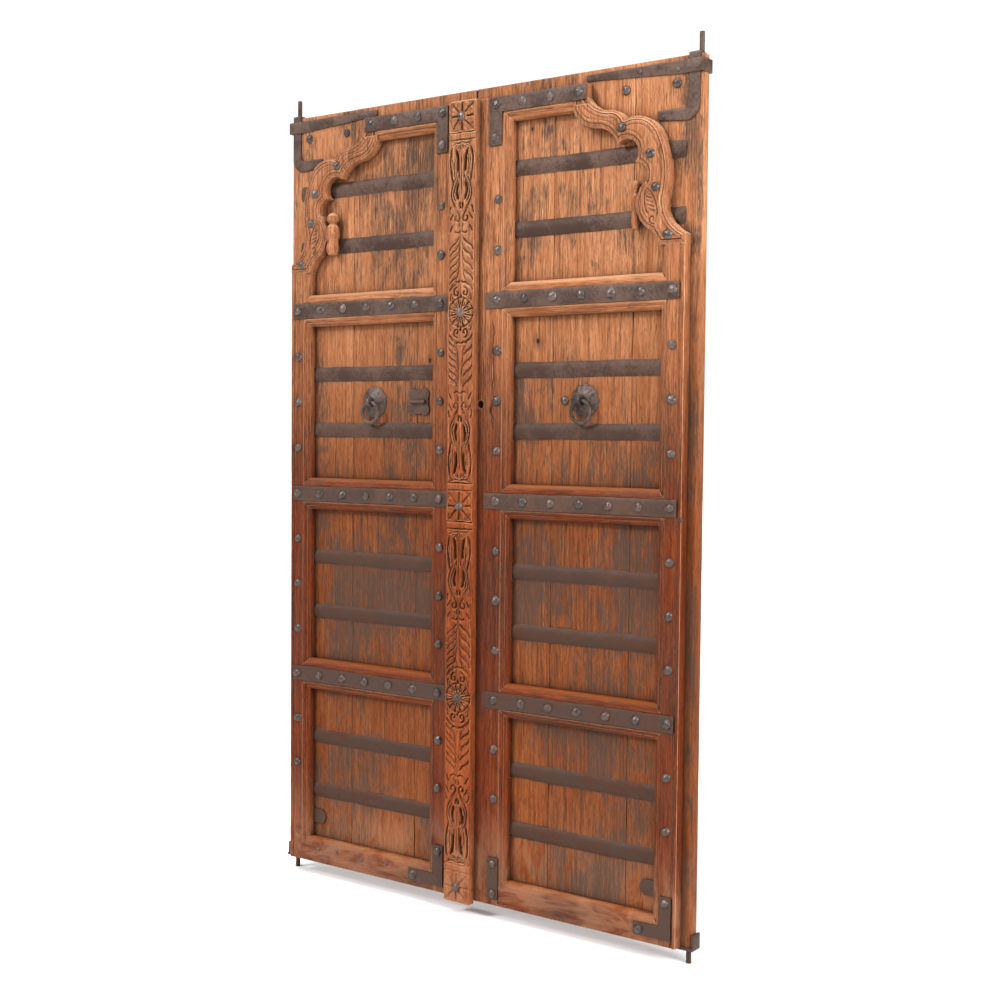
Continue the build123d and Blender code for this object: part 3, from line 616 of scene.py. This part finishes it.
# Boards: plain timber with softened arrises and a slightly wavy face
def worn_board(node, material, seed):
    low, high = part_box(node)
    bpy.ops.object.select_all(action="DESELECT")
    bpy.ops.mesh.primitive_cube_add(size=1, location=(low + high) / 2, scale=high - low)
    obj = bpy.context.object
    obj.name = "timber_" + node
    take(obj)
    bpy.ops.object.transform_apply(location=True, rotation=True, scale=True)
    middle = np.array((low + high) / 2)
    outward = -1 if node.startswith("left") else 1
    for outer, radius in ((True, OUTER_ROUND), (False, BOARD_ROUND)):
        if outer and "outer" not in node:
            continue
        edit(obj)
        bpy.ops.mesh.select_mode(type="EDGE")
        bpy.ops.mesh.select_all(action="DESELECT")
        done()
        for edge in obj.data.edges:
            a, b = (obj.data.vertices[i].co for i in edge.vertices)
            beside = (a.x - middle[0]) * outward > 0
            upright = abs(a.z - b.z) > LONG_RUN and abs(a.x - b.x) < TOUCH
            off_side = min(abs(a.x - low.x), abs(a.x - high.x))
            off_face = min(abs(a.y - low.y), abs(a.y - high.y))
            edge.select = upright and off_side + off_face < TOUCH and (beside or not outer)
        bpy.ops.object.mode_set(mode="EDIT")
        bpy.ops.mesh.bevel(offset=radius, segments=4 if outer else 3, affect="EDGES")
        bpy.ops.mesh.select_all(action="DESELECT")
        done()
    for edge in obj.data.edges:
        a, b = (obj.data.vertices[i].co for i in edge.vertices)
        edge.select = abs(a.z - b.z) > LONG_RUN
    bpy.ops.object.mode_set(mode="EDIT")
    bpy.ops.mesh.subdivide(number_cuts=BOARD_CUTS)
    done()
    co = points(obj)
    half = np.array((high - low) / 2)
    share = np.abs(co - middle) / half
    corner = np.clip((share[:, 0] - 0.9) / 0.1, 0, 1) * np.clip((share[:, 1] - 0.6) / 0.4, 0, 1)
    wave = wander(co * (1, 1, 0.35), 0.09, seed)
    bite = np.clip(wander(co * (1, 1, 0.6), 0.05, seed + 4) - 0.12, 0, 1)
    inward = np.sign(middle - co)
    co[:, 1] += inward[:, 1] * (0.4 + wave) * BOARD_WAVE * 0.5 + inward[:, 1] * corner * bite * BOARD_BITE
    on_face = np.clip((share[:, 1] - 0.94) / 0.05, 0, 1)
    co[:, 0] += inward[:, 0] * corner * on_face * bite * BOARD_BITE
    set_points(obj, co)
    smooth(obj, 50)
    return dress(obj, node, material)


# Straps and bars: hammered flat, with wavy edges
def hammered_strip(name, low, high, crown, seed):
    """A flat strip of iron that lies on the plane of its back, between two corners of its box."""
    length = high.x - low.x
    width = high.z - low.z
    columns = int(length / STRAP_STEP)
    bpy.ops.object.select_all(action="DESELECT")
    bpy.ops.mesh.primitive_grid_add(x_subdivisions=columns, y_subdivisions=STRAP_ROWS, size=1)
    obj = bpy.context.object
    obj.name = name
    flat = points(obj)
    u, v = flat[:, 0], flat[:, 1]
    side = np.abs(v) * 2
    end = np.abs(u) * 2
    x = low.x + (u + 0.5) * length
    rim = np.stack([x, 0 * x, np.sign(v) * 0.2], 1)
    edge_wave = wander(rim, 0.06, seed) + 0.5 * wander(rim, 0.02, seed + 3)
    z = (low.z + high.z) / 2 + v * width + np.sign(v) * side * (edge_wave - 0.45) * STRAP_WAVE
    dent = wander(np.stack([x, 0 * x, z], 1), 0.018, seed + 7)
    fall = crown * side**2 + STRAP_LIP * (side > 0.99) + STRAP_LIP * (end > 0.999)
    y = low.y + fall + (0.5 - dent) * STRAP_DENT
    bend = wander(np.stack([x, 0 * x, 0 * x], 1), 0.12, seed + 11)
    z = z + bend * STRAP_BEND
    set_points(obj, np.stack([x, y, z], 1))
    closed_behind(obj, low.y, high.y)
    smooth(obj, 45)
    return obj


def joined(pieces, name):
    take(pieces[0])
    for piece in pieces[1:]:
        piece.select_set(True)
    if len(pieces) > 1:
        bpy.ops.object.join()
    pieces[0].name = name
    return pieces[0]


def panel_bars(node, material, seed):
    low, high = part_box(node)
    spans = ((low.z, low.z + BAR_WIDTH), (high.z - BAR_WIDTH, high.z))
    bars = []
    for i, (foot, top) in enumerate(spans):
        corners = Vector((low.x, low.y, foot)), Vector((high.x, high.y, top))
        bars.append(hammered_strip(f"bar_{i}", *corners, BAR_CROWN, seed + i * 5))
    return dress(joined(bars, "hammered_" + node), node, material)


# Studs: one dome, copied to every seat with a little variety
def stud_seats(node):
    """Middle of each stud's seat, from the loose solids of the CAD node."""
    probe = cad_copy(node, "probe")
    edit(probe)
    bpy.ops.mesh.separate(type="LOOSE")
    done()
    seats = []
    for piece in list(bpy.context.selected_objects):
        co = points(piece)
        seats.append(Vector((co[:, 0].mean(), co[:, 1].max(), co[:, 2].mean())))
        bpy.data.objects.remove(piece)
    return sorted(seats, key=lambda p: (round(p.z, 3), p.x))


def stud_dome():
    bpy.ops.object.select_all(action="DESELECT")
    bpy.ops.mesh.primitive_uv_sphere_add(segments=STUD_SEGMENTS, ring_count=STUD_RINGS, radius=1)
    dome = bpy.context.object
    edit(dome)
    bpy.ops.transform.rotate(value=math.radians(90), orient_axis="X", center_override=(0, 0, 0))
    bpy.ops.mesh.bisect(plane_co=(0, 0, 0), plane_no=(0, 1, 0), clear_outer=True, use_fill=True)
    done()
    co = points(dome)
    if co[:, 1].min() > -0.5:
        co[:, 1] *= -1
    co *= (STUD_RADIUS, STUD_HEIGHT, STUD_RADIUS)
    set_points(dome, co)
    edit(dome)
    bpy.ops.mesh.normals_make_consistent(inside=False)
    done()
    return dome


def stud_heads(node, material, seed):
    dice = random.Random(seed)
    dome = stud_dome()
    heads = []
    for seat in stud_seats(node):
        head = twin_of(dome)
        co = turned(points(head), dice.uniform(0, math.tau))
        co *= (dice.uniform(0.88, 1.08), dice.uniform(0.75, 1.1), dice.uniform(0.88, 1.08))
        tip = np.array([dice.uniform(-1, 1), 0, dice.uniform(-1, 1)]) * STUD_LEAN
        lean = (-co[:, 1] / STUD_HEIGHT)[:, None] * tip
        dent = wander(co + np.array(seat), 0.008, seed)[:, None] * co * (0.16, 0.22, 0.16)
        co = co + lean + dent
        co[:, 1] = np.minimum(co[:, 1], 0.0)
        set_points(head, co + np.array(seat))
        heads.append(head)
    bpy.data.objects.remove(dome)
    obj = joined(heads, "domed_" + node)
    smooth(obj, 60)
    return dress(obj, node, material)


def placed_copies(piece, places, name, leaf, material):
    """Copies of a small piece, each at its size, turn and place, joined and riding on a leaf."""
    copies = []
    for size, turn, at in places:
        twin = twin_of(piece)
        set_points(twin, turned(points(twin) * size, turn) + np.array(at))
        copies.append(twin)
    bpy.data.objects.remove(piece)
    obj = joined(copies, name)
    smooth(obj, 60)
    paint(obj, material)
    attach(obj, body_of(f"{leaf}_studs"))


def small_nails(leaf, material):
    places = [(SMALL_NAIL_SIZE, i, Vector(at) * MM) for i, at in enumerate(SMALL_NAILS[leaf])]
    placed_copies(stud_dome(), places, f"{leaf}_small_nails", leaf, material)


def clinched_nails(leaf, material, seed):
    """Ends of the studs' nails, hammered over flat on the back of the boards."""
    bpy.ops.object.select_all(action="DESELECT")
    bpy.ops.mesh.primitive_cylinder_add(
        vertices=8, radius=CLINCH_RADIUS, depth=CLINCH_LENGTH, location=(0, 0, CLINCH_LENGTH / 2)
    )
    nail = bpy.context.object
    bpy.ops.object.transform_apply(location=True, rotation=True, scale=True)
    edit(nail)
    bpy.ops.mesh.select_mode(type="VERT")
    bpy.ops.mesh.select_all(action="DESELECT")
    done()
    for vertex in nail.data.vertices:
        vertex.select = vertex.co.z > CLINCH_LENGTH / 2
    bpy.ops.object.mode_set(mode="EDIT")
    bpy.ops.transform.resize(value=(0.4, 0.4, 1), center_override=(0, 0, 0))
    done()
    dice = random.Random(seed)
    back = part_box(f"{leaf}_middle_board")[1].y
    places = []
    for seat in stud_seats(f"{leaf}_studs"):
        places.append((dice.uniform(0.85, 1.15), dice.gauss(0.5, 0.5), Vector((seat.x, back, seat.z))))
    placed_copies(nail, places, f"{leaf}_clinched_nails", leaf, material)


# Ring pulls
def forged_ring(node, material, seed):
    low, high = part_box(node)
    middle = (low + high) / 2
    bar = (high.y - low.y) / 2
    radius = (high.x - low.x) / 2 - bar
    bpy.ops.object.select_all(action="DESELECT")
    bpy.ops.mesh.primitive_torus_add(
        major_radius=radius,
        minor_radius=bar,
        major_segments=RING_SEGMENTS,
        minor_segments=RING_SIDES,
        rotation=(math.radians(90), 0, 0),
    )
    obj = bpy.context.object
    obj.name = "forged_" + node
    bpy.ops.object.transform_apply(location=True, rotation=True, scale=True)
    co = points(obj)
    angle = np.arctan2(co[:, 2], co[:, 0])
    core = np.stack([np.cos(angle), 0 * angle, np.sin(angle)], 1) * radius
    swell = 0.93 + 0.05 * np.sin(angle * 2 + seed) + 0.06 * wander(co, 0.012, seed)
    set_points(obj, core + (co - core) * swell[:, None] + np.array(middle))
    smooth(obj, 180)
    return dress(obj, node, material)


def domed_boss(node, material, petals, seed):
    """Round plate raised by hammering, its rim either plain or cut in petals."""
    low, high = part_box(node)
    middle = (low + high) / 2
    radius = (high.x - low.x) / 2
    rise = high.y - low.y
    bpy.ops.object.select_all(action="DESELECT")
    upright = (math.radians(90), 0, 0)
    bpy.ops.mesh.primitive_circle_add(vertices=BOSS_SEGMENTS, radius=1, fill_type="NGON", rotation=upright)
    obj = bpy.context.object
    obj.name = "domed_" + node
    bpy.ops.object.transform_apply(location=True, rotation=True, scale=True)
    edit(obj)
    for _ in range(BOSS_RINGS):
        bpy.ops.mesh.inset(thickness=BOSS_INSET)
    bpy.ops.mesh.select_all(action="SELECT")
    bpy.ops.mesh.extrude_region_move(TRANSFORM_OT_translate={"value": (0, 1, 0)})
    bpy.ops.mesh.select_all(action="SELECT")
    bpy.ops.mesh.normals_make_consistent(inside=False)
    done()
    co = points(obj)
    r = np.hypot(co[:, 0], co[:, 2])
    angle = np.arctan2(co[:, 2], co[:, 0])
    behind = co[:, 1] > 0.5
    count = petals or 5
    notch = 0.09 if petals else 0.02
    lobe = 1 - notch * (1 - np.abs(np.cos(angle * count / 2))) * np.clip(r, 0, 1) ** 2
    dome = rise * (0.16 + 0.84 * np.clip(np.cos(np.clip(r * 1.02, 0, 1) * math.pi / 2), 0, 1) ** 0.8)
    ridge = BOSS_RIDGE * np.exp(-(((r - 0.62) / 0.06) ** 2))
    furrow = 1.3 * MM if petals else 0.3 * MM
    flute = furrow * np.abs(np.sin(angle * count / 2)) ** 4 * np.clip((r - 0.5) * 3, 0, 1)
    dent = wander(np.stack([co[:, 0], 0 * r, co[:, 2]], 1) * radius, 0.012, seed) * BOSS_DENT
    y = np.where(behind, high.y, high.y - np.maximum(dome + ridge - flute + dent, BOSS_RIM))
    y = np.maximum(y, low.y)
    placed = np.stack([middle.x + co[:, 0] * radius * lobe, y, middle.z + co[:, 2] * radius * lobe], 1)
    set_points(obj, placed)
    smooth(obj, 55)
    return dress(obj, node, material)


# Carved strip: the relief of its front as depths over a fine grid, in millimetres
def groove(distance, width, depth):
    return depth * np.clip(1 - np.abs(distance) / width, 0, 1)


def curve(places, steps=5):
    """Points of a smooth curve through the given places."""
    p = np.array(places, float)
    p = np.vstack([2 * p[0] - p[1], p, 2 * p[-1] - p[-2]])
    t = np.linspace(0, 1, steps, endpoint=False)[:, None]
    spans = [
        b + 0.5 * t * (c - a + t * (2 * a - 5 * b + 4 * c - d + t * (3 * (b - c) + d - a)))
        for a, b, c, d in zip(p, p[1:], p[2:], p[3:])
    ]
    return np.vstack(spans + [p[-2:-1]])


def cut(depth, x, y, half_width, deep, places):
    """Presses a gouge cut with pointed ends into a field of depths."""
    path = curve(places)
    low, high = path.min(0) - half_width, path.max(0) + half_width
    near = np.flatnonzero((x > low[0]) & (x < high[0]) & (y > low[1]) & (y < high[1]))
    here = np.stack([x[near], y[near]], 1)
    best = np.zeros(len(near))
    last = len(path) - 1
    for i, (a, b) in enumerate(zip(path, path[1:])):
        ab = b - a
        t = np.clip((here - a) @ ab / max(ab @ ab, 1e-9), 0, 1)
        gap = np.hypot(*(here - a - t[:, None] * ab).T)
        along = (i + t) / last
        taper = np.clip(5 * np.minimum(along, 1 - along), 0.12, 1) ** 0.6
        best = np.maximum(best, taper * np.clip(1.5 * (1 - gap / (half_width * taper)), 0, 1))
    depth[near] = np.maximum(depth[near], deep * best)


def round_flower(x, z):
    """Twelve looped petals round a stud: a slot in each, a cut between them, a hollow round the tips."""
    r = np.hypot(x, z)
    turn = np.arctan2(z, x) * 12 / math.tau
    off = np.abs(turn - np.round(turn)) * math.tau / 12 * r
    between = math.pi / 12 * r - off
    slot = 6.4 * np.clip(1.5 * (1 - np.hypot(off / 2.9, (r - 22.0) / 8.0)), 0, 1)
    split = 8.0 * np.clip(1.5 * (1 - between / (1.3 + 0.06 * r)), 0, 1) * (r > 12)
    tip = 30.0 + 4.0 * np.sqrt(np.clip(1 - (off / 8.0) ** 2, 0, 1))
    rim = 7.0 * np.clip((r - tip) / 1.5, 0, 1) * np.clip((39.0 - r) / 3.0, 0, 1)
    return np.maximum.reduce([slot, split, rim])


def square_flower(x, z):
    """Eight broad petals that fill a square block, parted by cuts that widen outwards."""
    r = np.hypot(x, z)
    turn = np.arctan2(z, x) * 8 / math.tau
    gap = np.abs(turn - np.round(turn)) * math.tau / 8 * r
    petal = math.pi / 8 * r - gap
    split = 8.0 * np.clip(1.5 * (1 - gap / (1.0 + 0.085 * r)), 0, 1) * np.clip((r - 10) / 4, 0, 1)
    crease = 2.4 * np.clip(1 - petal / 2.2, 0, 1) * np.clip((r - 18) / 6, 0, 1)
    square = np.maximum(np.abs(x), np.abs(z))
    tip = 30.0 + 6.0 * np.sqrt(np.clip(1 - (petal / 10.0) ** 2, 0, 1))
    ground = 4.6 * np.clip((r - tip) / 2, 0, 1) * np.clip((37.0 - square) / 2, 0, 1)
    return np.maximum.reduce([split * np.clip((36 - square) / 3, 0, 1), crease * (r < tip), ground])


def run_depth(u, a):
    """Carving between a fillet at a = 0 and a rosette: gouge cuts each side of a rib, and a lobed leaf."""
    x = np.abs(u)
    depth = np.zeros_like(u)
    for half_width, deep, places in RUN_CUTS:
        cut(depth, x, a, half_width * GOUGE_WIDTH, deep * GOUGE_DEPTH, places)
    start, end = LEAF_SPAN
    sweep = 1.1 * x + 3.0 * np.sin((x - 4) / 34 * math.tau)
    beat = (a - start - sweep) / np.where(u < 0, *LOBE_PITCH)
    part = beat - np.floor(beat)
    lobe = np.where(part < 0.3, ((0.3 - part) / 0.3) ** 1.5, ((part - 0.3) / 0.7) ** 1.8)
    vein = groove(part - 0.62, 0.10, 0.30)
    edge = groove(np.minimum(part, 1 - part), 0.13, LOBE_CUT)
    rib = 4.0 + 5.0 * ((a - start) / (end - start)) ** 3
    inside = np.clip((x - rib) / 2.5, 0, 1) * np.clip((38 - x) / 3, 0, 1)
    inside = inside * np.clip((a - start - 0.5 * x) / 6, 0, 1) * np.clip((end + 0.9 * x - a) / 5, 0, 1)
    return np.maximum(depth, (LOBE_DEPTH * np.clip(lobe + vein, 0, 1) + edge) * inside)


def strip_depth(u, z, height):
    """Depth of the carving below the strip's face, over across u and up z."""
    half = BLOCK / 2
    step = (height - BLOCK) / 4
    places = [half + step * i for i in range(5)]
    depth = np.zeros_like(u)
    for i in (1, 3):
        rosette = places[i]
        for away in (-1, 1):
            fillet = places[i + away] - away * (half + FILLET)
            a = (z - fillet) * RUN / (rosette - fillet)
            inside = np.flatnonzero((a >= 0) & (a <= RUN) & (np.hypot(u, z - rosette) > 35))
            depth[inside] = run_depth(u[inside], a[inside])
        near = np.flatnonzero(np.hypot(u, z - rosette) < 39)
        depth[near] = np.maximum(depth[near], round_flower(u[near], z[near] - rosette))
    for i in (0, 2, 4):
        dz = z - places[i]
        worn = 0.5 if i == 0 else 1.0
        square = np.flatnonzero(np.abs(dz) < half)
        depth[square] = worn * square_flower(u[square], dz[square])
        for away in (-1, 1):
            for edge in (half, half + FILLET):
                depth = np.maximum(depth, groove(dz - away * edge, 3.0, 8.0 * worn))
    return depth


def worn_soft(field, shape, times):
    """A field of depths with its sharp edges rubbed down."""
    grid = field.reshape(shape)
    for _ in range(times):
        wide = np.pad(grid, 1, mode="edge")
        cross = wide[:-2, 1:-1] + wide[2:, 1:-1] + wide[1:-1, :-2] + wide[1:-1, 2:]
        grid = 0.5 * grid + 0.125 * cross
    return grid.ravel()


def carved_strip(node, material):
    low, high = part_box(node)
    width, height = (high.x - low.x) / MM, (high.z - low.z) / MM
    columns, rows = int(width / CARVING_STEP), int(height / CARVING_STEP)
    bpy.ops.object.select_all(action="DESELECT")
    bpy.ops.mesh.primitive_grid_add(x_subdivisions=columns, y_subdivisions=rows, size=1)
    obj = bpy.context.object
    obj.name = "carved_" + node
    flat = points(obj)
    u, z = flat[:, 0] * width, (flat[:, 1] + 0.5) * height
    place = np.stack([u, 0 * u, z], 1)
    sway = wander(place, 22.0, 2.0) * 1.3
    depth = strip_depth(u + sway, z + wander(place, 30.0, 5.0) * 1.8, height)
    depth = depth * np.clip(0.95 + 0.5 * wander(place, 70.0, 9.0), 0.5, 1.1)
    depth = worn_soft(depth, (rows + 1, columns + 1), 1)
    depth += 0.35 * wander(place * (1, 1, 0.3), 4.0, 12.0)
    edge = np.clip((np.abs(u) - width / 2 + 6.0) / 6.0, 0, 1)
    depth += 2.6 * edge**2 * (1 + 0.6 * wander(place * (0, 1, 1), 30.0, 14.0))
    depth = np.maximum(depth, 0.0)
    set_points(obj, np.stack([low.x + (u + width / 2) * MM, low.y + depth * MM, low.z + z * MM], 1))
    closed_behind(obj, low.y, high.y)
    smooth(obj, 60)
    return dress(obj, node, material)


# Cusped brackets: the solid, rounded by wear, with beads cut along its edges
def outline_segments(obj, level):
    """Front-view segments of a piece's edge at a given depth, where a side wall behind meets it."""
    mesh = obj.data
    ends = []
    for face in mesh.polygons:
        if abs(face.normal.y) < 0.1 and face.center.y > level:
            for key in face.edge_keys:
                a, b = (mesh.vertices[i].co for i in key)
                if abs(a.y - level) < TOUCH and abs(b.y - level) < TOUCH:
                    ends.append(((a.x, a.z), (b.x, b.z)))
    return np.array(ends)


def outline_distance(co, segments):
    p = co[:, [0, 2]]
    best = np.full(len(p), 1.0)
    for a, b in segments:
        ab = b - a
        t = np.clip(((p - a) @ ab) / max(ab @ ab, 1e-12), 0, 1)
        best = np.minimum(best, np.hypot(*(p - a - t[:, None] * ab).T))
    return best


def face_levels(obj):
    """Depths of the broad flat faces on the front of a piece."""
    area = {}
    for face in obj.data.polygons:
        if face.normal.y < -0.999:
            level = round(face.center.y, 5)
            area[level] = area.get(level, 0) + face.area
    return np.array([level for level, size in area.items() if size > 0.001])


def carved_bracket(node, material, seed):
    obj = cad_copy(node, "carved_" + node)
    levels = face_levels(obj)
    segments = outline_segments(obj, levels.max())
    low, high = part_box(node)
    apply_modifier(obj, "REMESH", mode="VOXEL", voxel_size=BRACKET_VOXEL, adaptivity=0.0)
    apply_modifier(obj, "SMOOTH", factor=0.5, iterations=4)
    co = points(obj)
    facing = np.clip(-normals(obj)[:, 1], 0, 1)
    away = np.abs(co[:, 1, None] - levels)
    flat = (facing > 0.9) & (away.min(1) < 1.2 * MM)
    co[flat, 1] = levels[away.argmin(1)][flat]
    d = outline_distance(co, segments) / MM
    depth = sum(groove(d - place, half_width, deep) for place, half_width, deep in EDGE_GROOVES)
    depth += 2.4 * np.clip(1 - d / 4.0, 0, 1) ** 2
    outer = low.x if node.startswith("left") else high.x
    p = np.abs(co[:, 0] - outer) / MM - FEATHER_AT[0]
    q = (co[:, 2] - low.z) / MM - FEATHER_AT[1]
    across, along = FEATHER_COS * p - FEATHER_SIN * q, FEATHER_COS * q + FEATHER_SIN * p
    from_feather = np.hypot(across / FEATHER_HALF[0], along / FEATHER_HALF[1])
    depth = depth * np.clip((from_feather - 0.9) * 8, 0, 1)
    for half_width, deep, places in FEATHER_CUTS:
        cut(depth, across, along, half_width * GOUGE_WIDTH, deep * GOUGE_DEPTH, places)
    depth += 0.6 * wander(co, 0.011, seed) + 0.6 * wander(co, 0.04, seed + 2)
    co[:, 1] += flat * depth * MM
    set_points(obj, co)
    smooth(obj, 180)
    return dress(obj, node, material)


# Build the dressed door
strap_iron = forged_iron("strap_iron", 1.0, STRAP_TONES, 14.0)
bar_iron = forged_iron("bar_iron", 2.0, STRAP_TONES, 15.0, 0.5, 0.13)
pivot_iron = forged_iron("pivot_iron", 3.0, STRAP_TONES, 14.0)
stud_iron = forged_iron("stud_iron", 4.0, STUD_TONES, 7.0, 0.35, 0.5)
ring_iron = forged_iron("ring_iron", 5.0, STUD_TONES, 9.0, 0.6, 0.3)
lock_iron = forged_iron("lock_iron", 6.0, STRAP_TONES, 9.0, 0.7)
carved_wood = old_wood("carved_wood", "Z", 7.0, CARVED_TONES, 0.0, 0.75)

for n, leaf in enumerate(LEAVES):
    for i, place in enumerate(("outer", "middle", "inner")):
        knots = BOARD_KNOTS.get(f"{leaf}_{place}", ())
        seed = 1.0 + i + 3 * n
        board_wood = old_wood(f"{leaf}_{place}_board_wood", "Z", seed, BOARD_TONES, 0.85, 0.6, knots=knots)
        worn_board(f"{leaf}_{place}_board", board_wood, seed)
    for i, place in enumerate(("outer", "inner")):
        cracks = STILE_CRACKS if (leaf, place) == ("right", "inner") else ()
        seed = 11.0 + i + 2 * n
        stile_wood = old_wood(f"{leaf}_{place}_stile_wood", "Z", seed, FRAME_TONES, 0.25, 0.85, cracks)
        softened(f"{leaf}_{place}_stile", WOOD_ROUND, stile_wood)
    rail_wood = old_wood(f"{leaf}_rail_wood", "X", 21.0 + n, FRAME_TONES, 0.3, 0.85)
    for place in ("top", "upper", "middle", "lower", "bottom"):
        softened(f"{leaf}_{place}_rail", WOOD_ROUND, rail_wood)
    for i, place in enumerate(("upper", "middle", "lower")):
        node = f"{leaf}_{place}_strap"
        strap = hammered_strip("hammered_" + node, *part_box(node), STRAP_CROWN, 31.0 + i + 3 * n)
        dress(strap, node, strap_iron)
    for i, place in enumerate(("top", "upper", "lower", "bottom")):
        panel_bars(f"{leaf}_{place}_panel_bars", bar_iron, 41.0 + 11 * i + 50 * n)
    softened(f"{leaf}_top_corner_iron", IRON_ROUND, strap_iron)
    forged_hook(f"{leaf}_upper_pivot", pivot_iron)
    for place in ("upper_pivot_band", "lower_pivot"):
        softened(f"{leaf}_{place}", IRON_ROUND, pivot_iron)
    softened(f"{leaf}_ring_staple", IRON_ROUND, ring_iron)
    forged_ring(f"{leaf}_pull_ring", ring_iron, 3.0 + n)
    domed_boss(f"{leaf}_ring_boss", ring_iron, 12 * n, 5.0 + n)
    stud_heads(f"{leaf}_studs", stud_iron, 51 + n)
    small_nails(leaf, stud_iron)
    clinched_nails(leaf, strap_iron, 71 + n)
    carved_bracket(f"{leaf}_arch_bracket", carved_wood, 61.0 + n)

softened("left_inner_foot_iron", IRON_ROUND, strap_iron)
softened("right_outer_foot_iron", IRON_ROUND, strap_iron)
softened("right_inner_foot_strap", IRON_ROUND, strap_iron)
softened("left_lock_plate", IRON_ROUND, lock_iron)
softened("left_lock_bolt", IRON_ROUND, lock_iron)
stud_heads("left_cover_strip_studs", stud_iron, 53)
carved_strip("left_cover_strip", carved_wood)

# Floor, light and camera
floor_finish = Finish("pale_floor")
floor_finish.set(Base_Color=(0.92, 0.92, 0.92, 1), Roughness=0.7)
bpy.ops.object.select_all(action="DESELECT")
bpy.ops.mesh.primitive_plane_add(size=60, location=(0, 0, cad_low.z))
floor = bpy.context.object
floor.name = "floor"
floor.data.materials.append(floor_finish.material)


def softbox(name, at, towards, size, power):
    bpy.ops.object.light_add(type="AREA", location=at)
    lamp = bpy.context.object
    lamp.name = name
    lamp.data.size = size
    lamp.data.energy = power
    lamp.rotation_euler = (Vector(towards) - Vector(at)).to_track_quat("-Z", "Y").to_euler()


def sun(name, towards, strength, spread):
    bpy.ops.object.light_add(type="SUN", rotation=Vector(towards).to_track_quat("-Z", "Y").to_euler())
    lamp = bpy.context.object
    lamp.name = name
    lamp.data.energy = strength
    lamp.data.angle = math.radians(spread)


sun("key_light", (0.62, 1.0, -0.78), 3.0, 14)
sun("top_light", (0.1, 0.2, -1.0), 2.8, 50)
softbox("side_light", (4.6, -1.2, 2.6), (0.7, 0.0, 1.0), 1.8, 200)

scene = bpy.context.scene
world = bpy.data.worlds.new("studio")
scene.world = world
world.use_nodes = True
nodes, links = world.node_tree.nodes, world.node_tree.links
backdrop = nodes["Background"]
backdrop.inputs["Color"].default_value = (1, 1, 1, 1)
path = nodes.new("ShaderNodeLightPath")
strength = nodes.new("ShaderNodeMapRange")
strength.inputs["To Min"].default_value = 0.45
strength.inputs["To Max"].default_value = 1.1
links.new(path.outputs["Is Camera Ray"], strength.inputs["Value"])
links.new(strength.outputs["Result"], backdrop.inputs["Strength"])
scene.view_settings.view_transform = "Standard"

bpy.ops.object.camera_add(location=CAMERA_AT, rotation=[math.radians(a) for a in CAMERA_TURN])
camera = bpy.context.object
camera.data.lens = CAMERA_LENS
camera.data.sensor_width = CAMERA_SENSOR
scene.camera = camera
